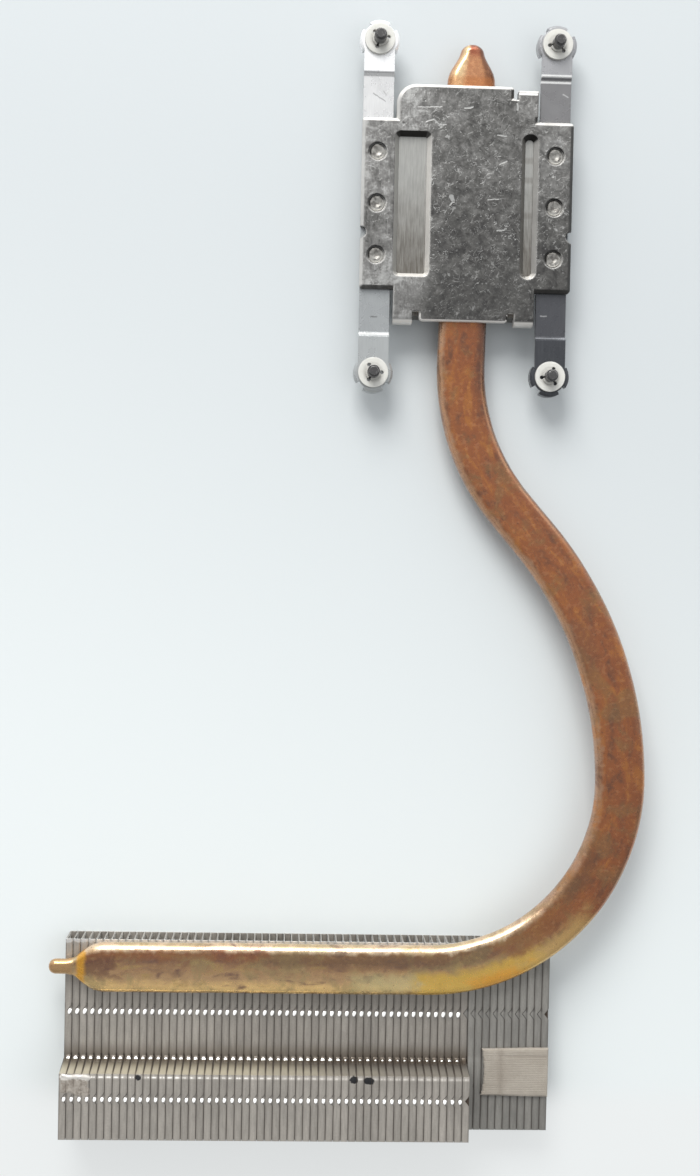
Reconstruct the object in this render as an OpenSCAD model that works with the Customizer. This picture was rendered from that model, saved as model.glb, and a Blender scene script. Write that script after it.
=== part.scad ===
// Laptop processor cooler: a flattened heat pipe soldered across a stack of folded fins at one
// end and held under a stamped contact plate with two sprung mounting arms at the other.
// Millimetres. The cooler lies on its outer side, with the face that meets the processor up.
// X runs along the fin stack, Y from the fins to the contact plate, Z up from the table.

/* [Fin stack] */
// Number of fins in the stack
fin_count = 65; // [56:1:68]
// How many of them, counted from the left, step up to the full height
tall_count = 54; // [40:1:54]
// Distance from one fin to the next
fin_pitch = 1.24; // [1.1:0.02:1.3]
// Thickness of the fin sheet
fin_sheet = 0.2; // [0.15:0.01:0.3]
// Open seam between a fin's flange and the next fin
seam_gap = 0.08; // [0.05:0.01:0.15]
// Height of the low shelf that carries the pipe
shelf_h = 5.2; // [4:0.1:7]
// Height of the tall fins past the step
tall_h = 10.8; // [9:0.1:14]
// Length of the fins along the air flow
fin_len = 31.4; // [28:0.2:36]
// Length of the low shelf on the tall fins
shelf_len = 19.7; // [17:0.1:23]
// How far the step leans over its height
step_run = 0.9; // [0.5:0.1:2]
// Left side of the stack
stack_left = -46.4; // [-50:0.1:-44]
// Rear edge of the stack, on the contact plate's side
stack_back = -60.3; // [-62:0.1:-58]

/* [Fin locks] */
// Width of a lock tongue where it leaves the fold
lock_w = 1.9; // [1.2:0.1:2.4]
// Depth of the notch that the next fin's tongue fills
lock_depth = 0.72; // [0.4:0.02:0.8]
// Clearance between the point of a tongue and its notch
lock_gap = 0.1; // [0.05:0.01:0.2]
// First lock row, from the rear edge of the stack
lock_from_back = 11.8; // [10:0.1:13]
// Second lock row, from the front edge of the stack
lock_from_front = 6.8; // [5:0.1:8]
// Height of the relief window at the foot of the step
relief_h = 1.5; // [0.8:0.1:2]
// Reach of the relief window onto the shelf
relief_reach = 0.36; // [0.2:0.02:0.6]
// Part of the flange that runs on beside the relief window
relief_web = 0.34; // [0.25:0.01:0.5]

/* [Heat pipe] */
// Thickness of the flattened pipe
pipe_t = 3; // [2.4:0.1:3.4]
// Width of the pipe under the contact plate
pipe_w_plate = 8; // [7:0.1:8.4]
// Width of the pipe along the fins
pipe_w_fins = 8.3; // [7.4:0.1:8.8]
// Pipe line at the plate's middle, to the right of it
pipe_shift = 0.45; // [0:0.05:2]
// How far the pipe leans off the arms' direction under the plate, in degrees
pipe_lean = 0.8; // [0:0.1:1.5]
// Rear edge of the stack to the middle of the pipe
pipe_from_back = 4.15; // [4.15:0.05:6]
// Pipe line beside the stack, outside the stack's right side
pipe_out = 10.55; // [9:0.05:13]
// Centreline radius of the corner onto the fins
corner_r = 31.4; // [29:0.1:34]
// Angle of the double bend
s_angle = 40.5; // [30:0.5:42]
// Centreline radius of the double bend on the plate's side
s_r_plate = 35; // [26:1:38]
// Centreline radius of the double bend on the fins' side
s_r_fins = 62.5; // [48:0.5:64]
// Length of the drawn nose past the plate
nose_len = 7.2; // [6:0.1:8]
// Width of the nose's cone at its free end, before that end is rounded
nose_w = 3.5; // [2.5:0.1:5]
// Length of the nose's rounded end
nose_dome = 1.5; // [0.8:0.1:3]
// Free end of the nose, past the plate's rear edge
nose_out = 7.3; // [7:0.1:10]
// Height of the drawn nose over its width
nose_round = 0.8; // [0.5:0.05:0.95]
// Length of the taper down to the stub's shoulder
taper_len = 2.4; // [1.5:0.1:5]
// Width of the pipe at the stub's shoulder
shoulder_w = 4.4; // [3.2:0.1:6]
// Length of the shoulder
shoulder_len = 0.35; // [0.2:0.05:1]
// Width of the filling stub
stub_w = 2.5; // [2:0.1:3]
// Height of the filling stub
stub_t = 2; // [1.5:0.1:2.6]
// Height of its pinched end
pinch_t = 0.7; // [0.5:0.1:1.4]
// Length of its pinched end
pinch_len = 0.6; // [0.3:0.1:1.5]
// Length of the filling stub
stub_len = 3.9; // [3:0.1:6]
// Free end of the filling stub, past the stack's left side
stub_out = 2.5; // [1:0.05:4]

/* [Contact plate] */
// Thickness of the contact plate
plate_t = 1.2; // [0.8:0.1:2]
// Width of the plate between the arms
plate_w = 23.2; // [21:0.1:23.6]
// Length of the plate, without its turned-down tabs
plate_len = 37.9; // [35:0.1:40]
// Width over both wings
wing_span = 34.8; // [33:0.1:36]
// Length of the wings
wing_len = 27.9; // [26:0.1:30]
// Plate's middle, behind the middle of the screws
plate_shift = 1.15; // [0:0.05:1.5]
// Wings' middle, behind the middle of the screws
wing_shift = 0.5; // [0:0.05:1]
// Wings' middle, to the right of the middle of the screws
wing_side = 0.2; // [0:0.05:0.5]
// Rolled edge of the upper face
edge_roll = 0.55; // [0.1:0.05:0.55]
// Radius of the large rear corner
corner_cut = 3.2; // [1:0.1:3.2]
// Radius of the small corners
corner_small = 0.6; // [0.5:0.1:1]
// Width of the tongue between the front tabs
tongue_w = 14.6; // [12:0.1:15.4]
// Reach of the tongue past the front edge
tongue_reach = 0.7; // [0.4:0.1:1.5]
// Width of a turned-down tab
tab_w = 3.2; // [2.5:0.1:3.3]
// Depth of a turned-down tab under the plate
tab_drop = 1.2; // [1:0.1:2.6]
// Outer radius of the bend of the front tabs
tab_bend = 1.2; // [0.4:0.1:1.2]
// Outer radius of the bend of the rear tab
rear_tab_bend = 0.6; // [0.3:0.1:1.2]
// Outer face of the rear tab, in front of the plate's rear edge
rear_tab_in = 0.6; // [0:0.1:1]
// Depth of the relief notches beside the front tabs
notch_front = 0.85; // [0.5:0.05:1.5]
// Depth of the relief notch beside the rear tab
notch_rear = 2.15; // [1.9:0.05:2.6]
// Width of the relief notch beside the rear tab
notch_rear_w = 0.8; // [0.6:0.1:1.4]
// Width of the wide left window
window_w = 6; // [5:0.1:6.2]
// Width of the narrow right window
slit_w = 2.7; // [2:0.1:3]
// Length of both windows
window_len = 23.7; // [21:0.1:24.5]
// Lean of the window walls through the plate
window_draft = 0.7; // [0.3:0.05:0.8]
// Reach of both windows into the wings
window_over = 0.2; // [0:0.05:0.4]
// Corner radius of the wide window
window_corner = 1; // [0.8:0.1:1.5]
// Corner radius of the narrow window
slit_corner = 1.3; // [1:0.05:1.3]
// Radius of the half-round nick in each wing
nick_r = 0.95; // [0.6:0.05:1.2]
// Middle of the nicks, in front of the wings' middle
nick_shift = 4.75; // [4:0.05:4.8]

/* [Saddle] */
// Height of the saddle that carries the pipe under the plate
saddle_h = 5; // [4.6:0.1:6]
// Gap between the saddle and the plate's tabs
saddle_gap = 0.25; // [0.15:0.05:0.5]
// Gap between the saddle and the spring arms
saddle_arm_gap = 0.75; // [0.4:0.05:1.2]
// Clearance on each side of the pipe in its channel
channel_gap = 0.12; // [0.05:0.01:0.3]
// Chamfer along the saddle's lower edges
saddle_chamfer = 0.8; // [0.3:0.1:1.5]

/* [Spring arms] */
// Screw spacing across the plate
screw_dx = 29.2; // [29:0.1:30]
// Screw spacing along the plate
screw_dy = 54.3; // [53:0.1:56]
// Width of a spring arm
arm_w = 5; // [4.6:0.1:5.2]
// Thickness of the spring strip
arm_t = 0.6; // [0.4:0.05:0.8]
// Rise of the arm ends at the joggle
joggle_rise = 0.6; // [0.3:0.05:1]
// Length of the joggle along the arm
joggle_run = 0.7; // [0.4:0.1:1.2]
// Joggle from the front screw
joggle_front = 6; // [4:0.1:7]
// Joggle from the rear screw
joggle_rear = 5.1; // [4:0.1:6]
// Outer radius of the cupped arm end
cup_r = 3.25; // [3.1:0.05:3.6]
// Radius of the flat eye of the arm end
eye_r = 2.7; // [2.6:0.05:2.9]
// Bevel of the cup's shoulder
cup_bevel = 0.35; // [0.1:0.05:0.5]
// Depth of the ears that guard the screw head
ear_drop = 1.6; // [1.2:0.1:3]
// Opening angle of one ear
ear_angle = 62; // [40:1:70]

/* [Captive screws] */
// Thread radius of a screw
screw_r = 1; // [0.9:0.05:1.1]
// Radius of the plain neck that turns in the washer
neck_r = 0.8; // [0.6:0.05:0.85]
// Length of the neck past the washer's collar
neck_past = 0.1; // [0.05:0.05:0.3]
// Radius of the screw head
head_r = 1.9; // [1.6:0.05:2.1]
// Height of the screw head
head_h = 1.5; // [1:0.1:2]
// Height of the head's straight rim
head_rim = 0.9; // [0.5:0.1:1]
// Radius of the head's flat crown
crown_r = 1.5; // [1.3:0.05:1.6]
// Width of the cross recess in the head
cross_w = 0.55; // [0.4:0.05:0.7]
// Length of the cross recess in the head
cross_len = 2.5; // [2:0.1:2.6]
// Depth of the cross recess in the head
cross_depth = 0.75; // [0.5:0.05:0.9]
// Length of the thread above the arm
thread_len = 2.8; // [2.4:0.1:3.4]
// Radius of the dog point
point_r = 0.7; // [0.5:0.05:0.75]
// Length of the dog point
point_len = 0.6; // [0.3:0.1:1]
// Clearance round the thread in the arm
thread_gap = 0.15; // [0.1:0.01:0.25]

/* [Retaining washers] */
// Radius of a retaining washer
washer_r = 2.48; // [2.2:0.02:2.6]
// Thickness of the washer's rim
washer_t = 0.6; // [0.4:0.05:0.8]
// Radius of the raised collar
collar_r = 1.3; // [1.2:0.05:1.6]
// Height of the collar over the rim
collar_h = 0.3; // [0.1:0.05:0.5]
// Clearance of the washer on the screw's neck
washer_gap = 0.05; // [0.03:0.01:0.1]
// Width of the grip slots
grip_w = 0.3; // [0.2:0.02:0.5]
// Middle of the round hole at the end of a grip slot, from the screw's axis
grip_r = 1.4; // [1.2:0.05:1.8]
// Radius of that hole
grip_hole_r = 0.3; // [0.25:0.05:0.4]

/* [Rivets] */
// Rivet spacing along a wing
rivet_dy = 8.4; // [7:0.1:9]
// Radius of the rivet shank
rivet_r = 0.75; // [0.5:0.05:0.9]
// Clearance of the rivet shank in its holes
rivet_gap = 0.05; // [0.02:0.01:0.1]
// Radius of the rivet head
rivet_head_r = 1.3; // [1.1:0.05:1.4]
// Radius of the rivet head's flat crown
rivet_crown_r = 1.05; // [0.9:0.05:1.1]
// Height of the rivet head
rivet_head_h = 0.28; // [0.2:0.02:0.4]
// Radius of the dimple in the rivet head
dimple_r = 0.75; // [0.5:0.05:0.9]
// Radius of the dimple's floor
dimple_floor_r = 0.25; // [0.1:0.05:0.4]
// Depth of the dimple
dimple_depth = 0.14; // [0.1:0.02:0.2]
// Radius of the recess in the wing
recess_r = 1.5; // [1.45:0.05:1.7]
// Depth of the recess in the wing
recess_depth = 0.4; // [0.3:0.05:0.6]
// Height of the closed rivet end under the arm
rivet_tail_h = 0.4; // [0.3:0.05:0.8]
// Radius of the closed rivet end
rivet_tail_r = 1.1; // [0.95:0.05:1.3]

/* [Foam pad] */
// Width of the foam pad on the short fins
pad_w = 11.2; // [8:0.1:12.5]
// Length of the foam pad
pad_len = 8; // [6:0.1:10]
// Thickness of the foam pad
pad_t = 0.7; // [0.4:0.1:1.5]
// Rear edge of the stack to the pad
pad_from_back = 17.5; // [15:0.1:20]

/* [Hidden] */
$fn = 48;
// A cut runs this far past the faces that it opens
past = 0.5;

// Middle of the four screws
block_x = 17;
block_y = 61.3;
screw_x = [block_x - screw_dx/2, block_x + screw_dx/2];
screw_y = [block_y - screw_dy/2, block_y + screw_dy/2];

// Stack
stack_w = fin_count*fin_pitch;
stack_right = stack_left + stack_w;
stack_front = stack_back - fin_len;
flange_w = fin_pitch - seam_gap;
lock_rear_y = stack_back - lock_from_back;
lock_front_y = stack_front + lock_from_front;
step_y = stack_back - shelf_len;

// Plate, with its front edge where the tabs turn down
plate_x = [block_x - plate_w/2, block_x + plate_w/2];
plate_mid_y = block_y + plate_shift;
plate_y = [plate_mid_y - plate_len/2, plate_mid_y + plate_len/2];
wing_mid_y = block_y + wing_shift;
plate_z = saddle_h;
plate_top = plate_z + plate_t;
wing_mid_x = block_x + wing_side;
wing_x = [wing_mid_x - wing_span/2, wing_mid_x + wing_span/2];
rear_tab_y = plate_y[1] - rear_tab_in - plate_t;
tab_x = [plate_x[0], plate_x[1] - tab_w];
notch_x = tab_x[1] - notch_rear_w;

// Levels of the arms, screws and washers
arm_z = plate_z - arm_t;
eye_z = arm_z + joggle_rise;
eye_top = eye_z + arm_t;
thread_z = eye_top + washer_t + collar_h + neck_past;
thread_top = eye_top + thread_len;
// How far the washers happen to be turned, as [left, right] at the front and at the rear
washer_turns = [[0, 67], [10, 70]];

// Pipe centreline: straight under the plate, a double bend and the corner onto the fins
pipe_x = block_x + pipe_shift;
side_x = stack_right + pipe_out;
fins_y = stack_back - pipe_from_back;
bend_y = fins_y + corner_r;
pipe_z_fins = shelf_h + pipe_t/2;
pipe_z_plate = plate_z - pipe_t/2;
nose_y = plate_y[1] + nose_out;
stub_x = stack_left - stub_out;
function line_x(y) = pipe_x + (y - plate_mid_y)*tan(pipe_lean);

// The bend on the fins' side starts at s_low, and s_leg above it the middle straight would meet
// the line under the plate; the bend on the plate's side cuts that corner
s_low = [side_x - s_r_fins*(1 - cos(s_angle)), bend_y + s_r_fins*sin(s_angle)];
s_leg = (s_low[0] - line_x(s_low[1]))/(sin(s_angle) + cos(s_angle)*tan(pipe_lean));
s_turn = s_angle + pipe_lean;
s_cut = s_r_plate*tan(s_turn/2);
s_run = s_leg - s_cut;
s_high = s_low + s_run*[-sin(s_angle), cos(s_angle)];
s_start_y = s_low[1] + s_leg*cos(s_angle) + s_cut*cos(pipe_lean);
s_mid = [line_x(s_start_y) + s_r_plate*cos(pipe_lean), s_start_y - s_r_plate*sin(pipe_lean)];

// Path lengths of the three parts of the double bend, over which the pipe drops to the plate
len_high = s_r_plate*s_turn*PI/180;
len_low = s_r_fins*s_angle*PI/180;
len_s = len_high + s_run + len_low;

function mix(a, b, t) = a + (b - a)*t;
function smooth(t) = t*t*(3 - 2*t);
function drop_z(run) = mix(pipe_z_plate, pipe_z_fins, smooth(run/len_s));
function drop_w(run) = mix(pipe_w_plate, pipe_w_fins, smooth(run/len_s));

// A ring is [x, y, z, heading, width, thickness]; the heading is the way that the pipe runs
function nose_ring(s, full) =
    let (w = mix(nose_w, pipe_w_plate, s/nose_len)*full, y = nose_y - s*cos(pipe_lean))
    [line_x(y), y, pipe_z_plate, -90 - pipe_lean, w, min(pipe_t, w*nose_round)];
dome_steps = 5;
dome_start = 12;
dome_rings = [for (i = [0:dome_steps])
    let (a = mix(dome_start, 90, i/dome_steps))
    nose_ring(nose_dome*(1 - cos(a)), sin(a))];
bend_step = 4.75;
high_steps = ceil(s_turn/bend_step);
high_rings = [for (i = [0:high_steps])
    let (a = s_turn*i/high_steps - pipe_lean, run = len_high*i/high_steps)
    [s_mid[0] - s_r_plate*cos(a), s_mid[1] - s_r_plate*sin(a), drop_z(run), a - 90,
        drop_w(run), pipe_t]];
mid_steps = 3;
mid_rings = [for (i = [1:mid_steps - 1])
    let (t = i/mid_steps, run = len_high + s_run*t)
    [mix(s_high[0], s_low[0], t), mix(s_high[1], s_low[1], t), drop_z(run), s_angle - 90,
        drop_w(run), pipe_t]];
low_steps = ceil(s_angle/bend_step);
low_rings = [for (i = [0:low_steps])
    let (a = s_angle*(1 - i/low_steps), run = len_high + s_run + len_low*i/low_steps)
    [side_x - s_r_fins*(1 - cos(a)), bend_y + s_r_fins*sin(a), drop_z(run), a - 90,
        drop_w(run), pipe_t]];
corner_steps = ceil(90/bend_step);
corner_rings = [for (i = [1:corner_steps])
    let (a = 90*i/corner_steps)
    [side_x - corner_r*(1 - cos(a)), bend_y - corner_r*sin(a), pipe_z_fins, -90 - a,
        pipe_w_fins, pipe_t]];
shoulder_x = stub_x + stub_len + shoulder_len;
taper_swell = 1.2;
taper_steps = 4;
taper_rings = [for (i = [taper_steps:-1:0])
    let (t = i/taper_steps, k = pow(t, taper_swell))
    [shoulder_x + taper_len*t, fins_y, pipe_z_fins, -180,
        mix(shoulder_w, pipe_w_fins, k), mix(stub_t, pipe_t, k)]];
stub_rings = [[stub_x + stub_len, fins_y, pipe_z_fins, -180, stub_w, stub_t],
    [stub_x + pinch_len, fins_y, pipe_z_fins, -180, stub_w, stub_t],
    [stub_x, fins_y, pipe_z_fins, -180, stub_w, pinch_t]];
pipe_rings = concat(dome_rings, [nose_ring(nose_len, 1)], high_rings, mid_rings, low_rings,
    corner_rings, taper_rings, stub_rings);

// The pipe's section: two half rounds of side_points points joined by flats
side_points = 9;
ring_points = 2*side_points;
function section(w, t) = [for (side = [1, -1], i = [0:side_points - 1])
    let (a = side*(-90 + 180*i/(side_points - 1)))
    [side*(w - t)/2 + side*t/2*cos(a), t/2*sin(side*a)*side]];
function placed(ring) = [for (p = section(ring[4], ring[5]))
    [ring[0] + p[0]*cos(ring[3] + 90), ring[1] + p[0]*sin(ring[3] + 90), ring[2] + p[1]]];

// Solid with a closed surface through a list of rings with the same number of points
module sweep(rings) {
    n = ring_points;
    last = len(rings) - 1;
    points = [for (r = rings) each placed(r)];
    sides = [for (k = [0:last - 1], j = [0:n - 1])
        [k*n + j, k*n + (j + 1)%n, (k + 1)*n + (j + 1)%n, (k + 1)*n + j]];
    first_cap = [for (j = [n - 1:-1:0]) j];
    last_cap = [for (j = [0:n - 1]) last*n + j];
    polyhedron(points = points, faces = concat([first_cap], sides, [last_cap]));
}

// Outline of a flange seen from above, from y0 to y1: a notch in the free edge and a tongue on
// the fold at each lock row
module flange_outline(y0, y1, locks, tongues) {
    reach = lock_depth + seam_gap - lock_gap;
    notched = [for (y = locks) each [[flange_w, y - lock_w/2], [flange_w - lock_depth, y],
        [flange_w, y + lock_w/2]]];
    tongued = [for (i = [len(locks) - 1:-1:0]) each
        [[0, locks[i] + lock_w/2], [-reach, locks[i]], [0, locks[i] - lock_w/2]]];
    polygon(concat([[0, y0], [flange_w, y0]], notched, [[flange_w, y1], [0, y1]],
        tongues ? tongued : []));
}

module flange(y0, y1, z, locks, tongues) {
    translate([0, 0, z])
        linear_extrude(fin_sheet) flange_outline(y0, y1, locks, tongues);
}

// A profile given as [y, z] points, drawn from x = 0 to x = width
module along_x(width) {
    rotate([90, 0, 90]) linear_extrude(width) children();
}

module short_fin(tongues) {
    along_x(fin_sheet) polygon([[stack_front, 0], [stack_back, 0], [stack_back, shelf_h],
        [stack_front, shelf_h]]);
    flange(stack_front, stack_back, 0, [lock_front_y, lock_rear_y], tongues);
    flange(stack_front, stack_back, shelf_h - fin_sheet, [lock_rear_y], tongues);
}

// Sheet that climbs the step, as thick as the fin
module step_profile() {
    top_y = step_y - step_run;
    polygon([[step_y, shelf_h - fin_sheet], [step_y, shelf_h], [top_y, tall_h],
        [top_y - fin_sheet, tall_h], [top_y - fin_sheet, tall_h - fin_sheet],
        [step_y - fin_sheet, shelf_h - fin_sheet]]);
}

module tall_fin(tongues) {
    top_y = step_y - step_run;
    difference() {
        union() {
            along_x(fin_sheet) polygon([[stack_front, 0], [stack_back, 0], [stack_back, shelf_h],
                [step_y, shelf_h], [top_y, tall_h], [stack_front, tall_h]]);
            flange(stack_front, stack_back, 0, [lock_front_y, lock_rear_y], tongues);
            flange(step_y - fin_sheet, stack_back, shelf_h - fin_sheet, [lock_rear_y], tongues);
            along_x(flange_w) step_profile();
            flange(stack_front, top_y, tall_h - fin_sheet, [lock_front_y], tongues);
        }
        translate([relief_web, step_y - step_run, shelf_h - fin_sheet - past])
            cube([fin_pitch, step_run + relief_reach, fin_sheet + past + relief_h]);
    }
}

module tall_fins() {
    color("#9c9690") for (i = [0:tall_count - 1])
        translate([stack_left + i*fin_pitch, 0, 0]) tall_fin(i > 0);
}

module short_fins() {
    color("#928d87") for (i = [tall_count:fin_count - 1])
        translate([stack_left + i*fin_pitch, 0, 0]) short_fin(true);
}

module heat_pipe() {
    color("#a9683f") sweep(pipe_rings);
}

// Slab with rounded corners whose upper edge leans in by inset over the depth lean
module leaning_slab(x0, x1, y0, y1, r, height, inset, lean) {
    low = height - lean;
    mid_x = (x0 + x1)/2;
    mid_y = (y0 + y1)/2;
    for (x = [x0 + r, x1 - r], y = [y0 + r, y1 - r]) translate([x, y, 0]) {
        cylinder(h = low, r = r);
        translate([0, 0, low]) cylinder(h = lean, r1 = r, r2 = r - inset);
    }
    translate([0, y1 - r, 0]) rotate([90, 0, 0]) linear_extrude(y1 - y0 - 2*r)
        polygon([[x0, 0], [x1, 0], [x1, low], [x1 - inset, height], [x0 + inset, height],
            [x0, low]]);
    translate([x0 + r, 0, 0]) along_x(x1 - x0 - 2*r)
        polygon([[y0, 0], [y1, 0], [y1, low], [y1 - inset, height], [y0 + inset, height],
            [y0, low]]);
}

// Window through the plate, wider at the upper face than at the lower one
module window(x0, x1, r) {
    y0 = wing_mid_y - window_len/2;
    y1 = wing_mid_y + window_len/2;
    translate([0, 0, plate_top]) mirror([0, 0, 1])
        leaning_slab(x0, x1, y0, y1, r, plate_t, window_draft, plate_t);
    translate([x0 + r, y0 + r, plate_z - past])
        cube([x1 - x0 - 2*r, y1 - y0 - 2*r, plate_t + 2*past]);
}

// Tab turned down at the edge y, towards dir (+1 rear, -1 front), with a bend of radius r
module turned_tab(x0, y, dir, r) {
    bend = min(r, plate_t);
    translate([dir > 0 ? x0 : x0 + tab_w, y, plate_z]) rotate(dir > 0 ? 0 : 180)
        along_x(tab_w) difference() {
            translate([0, -tab_drop]) square([plate_t, tab_drop + plate_t]);
            translate([plate_t - bend, plate_t - bend]) difference() {
                square(bend + past);
                circle(r = bend);
            }
        }
}

module rivet_places(side) {
    for (k = [1, 0, -1]) translate([screw_x[side], wing_mid_y + k*rivet_dy, 0]) children();
}

module base_plate() {
    window_x0 = plate_x[0] - window_over;
    slit_x1 = plate_x[1] + window_over;
    tongue_x = [block_x - tongue_w/2, block_x + tongue_w/2];
    nick_y = wing_mid_y - nick_shift;
    gap_w = tab_x[1] - tongue_x[1];
    color("#6c6c6a") difference() {
        union() {
            translate([0, 0, plate_z]) {
                leaning_slab(plate_x[0], notch_x, plate_y[0], plate_y[1], corner_cut, plate_t,
                    edge_roll, edge_roll);
                leaning_slab(block_x, notch_x, block_y, plate_y[1], corner_small, plate_t,
                    edge_roll, edge_roll);
                leaning_slab(block_x, plate_x[1], plate_y[0], rear_tab_y, corner_small, plate_t,
                    edge_roll, edge_roll);
                for (x = tab_x) translate([x, plate_y[0], 0]) cube([tab_w, 2*tab_w, plate_t]);
                translate([tab_x[1], rear_tab_y - tab_w, 0]) cube([tab_w, tab_w, plate_t]);
                leaning_slab(tongue_x[0], tongue_x[1], plate_y[0] - tongue_reach,
                    plate_y[0] + 2*tab_w, corner_small, plate_t, edge_roll/2, edge_roll/2);
                leaning_slab(wing_x[0], wing_x[1], wing_mid_y - wing_len/2,
                    wing_mid_y + wing_len/2, corner_small, plate_t, edge_roll, edge_roll);
            }
            for (x = tab_x) turned_tab(x, plate_y[0], -1, tab_bend);
            turned_tab(tab_x[1], rear_tab_y, 1, rear_tab_bend);
        }
        window(window_x0, window_x0 + window_w, window_corner);
        window(slit_x1 - slit_w, slit_x1, slit_corner);
        for (x = [tongue_x[0] - gap_w, tongue_x[1]])
            translate([x, plate_y[0] - past - tongue_reach, plate_z - past])
                cube([gap_w, tongue_reach + past + notch_front, plate_t + 2*past]);
        translate([notch_x, plate_y[1] - notch_rear, plate_z - past])
            cube([notch_rear_w, notch_rear + past, plate_t + 2*past]);
        for (x = wing_x) translate([x, nick_y, plate_z - past])
            cylinder(h = plate_t + 2*past, r = nick_r);
        for (side = [0, 1]) rivet_places(side) {
            translate([0, 0, plate_z - past]) cylinder(h = plate_t + past, r = rivet_r + rivet_gap);
            translate([0, 0, plate_top - recess_depth])
                cylinder(h = recess_depth + past, r = recess_r);
        }
    }
}

// Block under the plate with an open channel that the pipe is soldered into
module pipe_saddle() {
    x0 = screw_x[0] + arm_w/2 + saddle_arm_gap;
    x1 = screw_x[1] - arm_w/2 - saddle_arm_gap;
    y0 = plate_y[0] + saddle_gap;
    y1 = rear_tab_y - saddle_gap;
    channel_w = pipe_w_plate + 2*channel_gap;
    color("#b9b8b4") difference() {
        translate([0, y1, 0]) rotate([90, 0, 0]) linear_extrude(y1 - y0)
            polygon([[x0 + saddle_chamfer, 0], [x1 - saddle_chamfer, 0], [x1, saddle_chamfer],
                [x1, plate_z], [x0, plate_z], [x0, saddle_chamfer]]);
        translate([pipe_x, plate_mid_y, plate_z - pipe_t]) rotate(-pipe_lean)
            translate([-channel_w/2, -plate_len, 0]) cube([channel_w, 2*plate_len, pipe_t + past]);
    }
}

// Side view of an arm, from the front eye to the rear one
module arm_profile() {
    front = screw_y[0] + joggle_front;
    rear = screw_y[1] - joggle_rear;
    ends = [screw_y[0], front, front + joggle_run, rear - joggle_run, rear, screw_y[1]];
    low = [[ends[0], eye_z], [ends[1], eye_z], [ends[2], arm_z], [ends[3], arm_z],
        [ends[4], eye_z], [ends[5], eye_z]];
    high = [for (i = [len(low) - 1:-1:0]) low[i] + [0, arm_t]];
    polygon(concat(low, high));
}

// Eye of an arm, with three ears turned down round the screw head; facing is where the arm ends
module arm_end(facing) {
    translate([0, 0, eye_z]) {
        cylinder(h = arm_t, r = eye_r);
        for (a = [-90, 0, 90]) rotate(facing + a - ear_angle/2) rotate_extrude(angle = ear_angle)
            polygon([[eye_r - arm_t, 0], [eye_r - arm_t, arm_t], [cup_r - cup_bevel, arm_t],
                [cup_r, arm_t - cup_bevel], [cup_r, -ear_drop], [cup_r - arm_t, -ear_drop],
                [cup_r - arm_t, 0]]);
    }
}

module spring(side) {
    x = screw_x[side];
    color("#a4a4a8") difference() {
        union() {
            translate([x - arm_w/2, 0, 0]) along_x(arm_w) arm_profile();
            translate([x, screw_y[0], 0]) arm_end(-90);
            translate([x, screw_y[1], 0]) arm_end(90);
        }
        for (y = screw_y) translate([x, y, eye_z - past])
            cylinder(h = arm_t + 2*past, r = screw_r + thread_gap);
        rivet_places(side) translate([0, 0, arm_z - past])
            cylinder(h = arm_t + 2*past, r = rivet_r + rivet_gap);
    }
}

module left_spring() { spring(0); }
module right_spring() { spring(1); }

// Rivet through a wing and an arm, with a dimpled head in the recess; k is 1 rear, -1 front
module rivet(side, k) {
    head_z = plate_top - recess_depth;
    color("#b4b3b0") translate([screw_x[side], wing_mid_y + k*rivet_dy, 0]) difference() {
        union() {
            translate([0, 0, arm_z - rivet_tail_h]) cylinder(h = rivet_tail_h, r = rivet_tail_r);
            translate([0, 0, arm_z - rivet_tail_h])
                cylinder(h = head_z - arm_z + rivet_tail_h, r = rivet_r);
            translate([0, 0, head_z])
                cylinder(h = rivet_head_h, r1 = rivet_head_r, r2 = rivet_crown_r);
        }
        translate([0, 0, head_z + rivet_head_h - dimple_depth])
            cylinder(h = dimple_depth, r1 = dimple_floor_r, r2 = dimple_r);
    }
}

module rivet_left_rear() { rivet(0, 1); }
module rivet_left_middle() { rivet(0, 0); }
module rivet_left_front() { rivet(0, -1); }
module rivet_right_rear() { rivet(1, 1); }
module rivet_right_middle() { rivet(1, 0); }
module rivet_right_front() { rivet(1, -1); }

// Captive screw: its head hangs under the arm's eye and its thread points up at the board
module screw(side, end) {
    color("#3a3a3c") translate([screw_x[side], screw_y[end], 0]) difference() {
        union() {
            translate([0, 0, eye_z - head_h])
                cylinder(h = head_h - head_rim, r1 = crown_r, r2 = head_r);
            translate([0, 0, eye_z - head_rim]) cylinder(h = head_rim, r = head_r);
            translate([0, 0, eye_z - head_rim]) cylinder(h = thread_z - eye_z + head_rim, r = neck_r);
            translate([0, 0, thread_z]) cylinder(h = thread_top - thread_z, r = screw_r);
            translate([0, 0, thread_top]) cylinder(h = point_len, r = point_r);
        }
        for (a = [0, 90]) rotate(a)
            translate([-cross_len/2, -cross_w/2, eye_z - head_h - past])
                cube([cross_len, cross_w, past + cross_depth]);
    }
}

module screw_left_rear() { screw(0, 1); }
module screw_right_rear() { screw(1, 1); }
module screw_left_front() { screw(0, 0); }
module screw_right_front() { screw(1, 0); }

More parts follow.
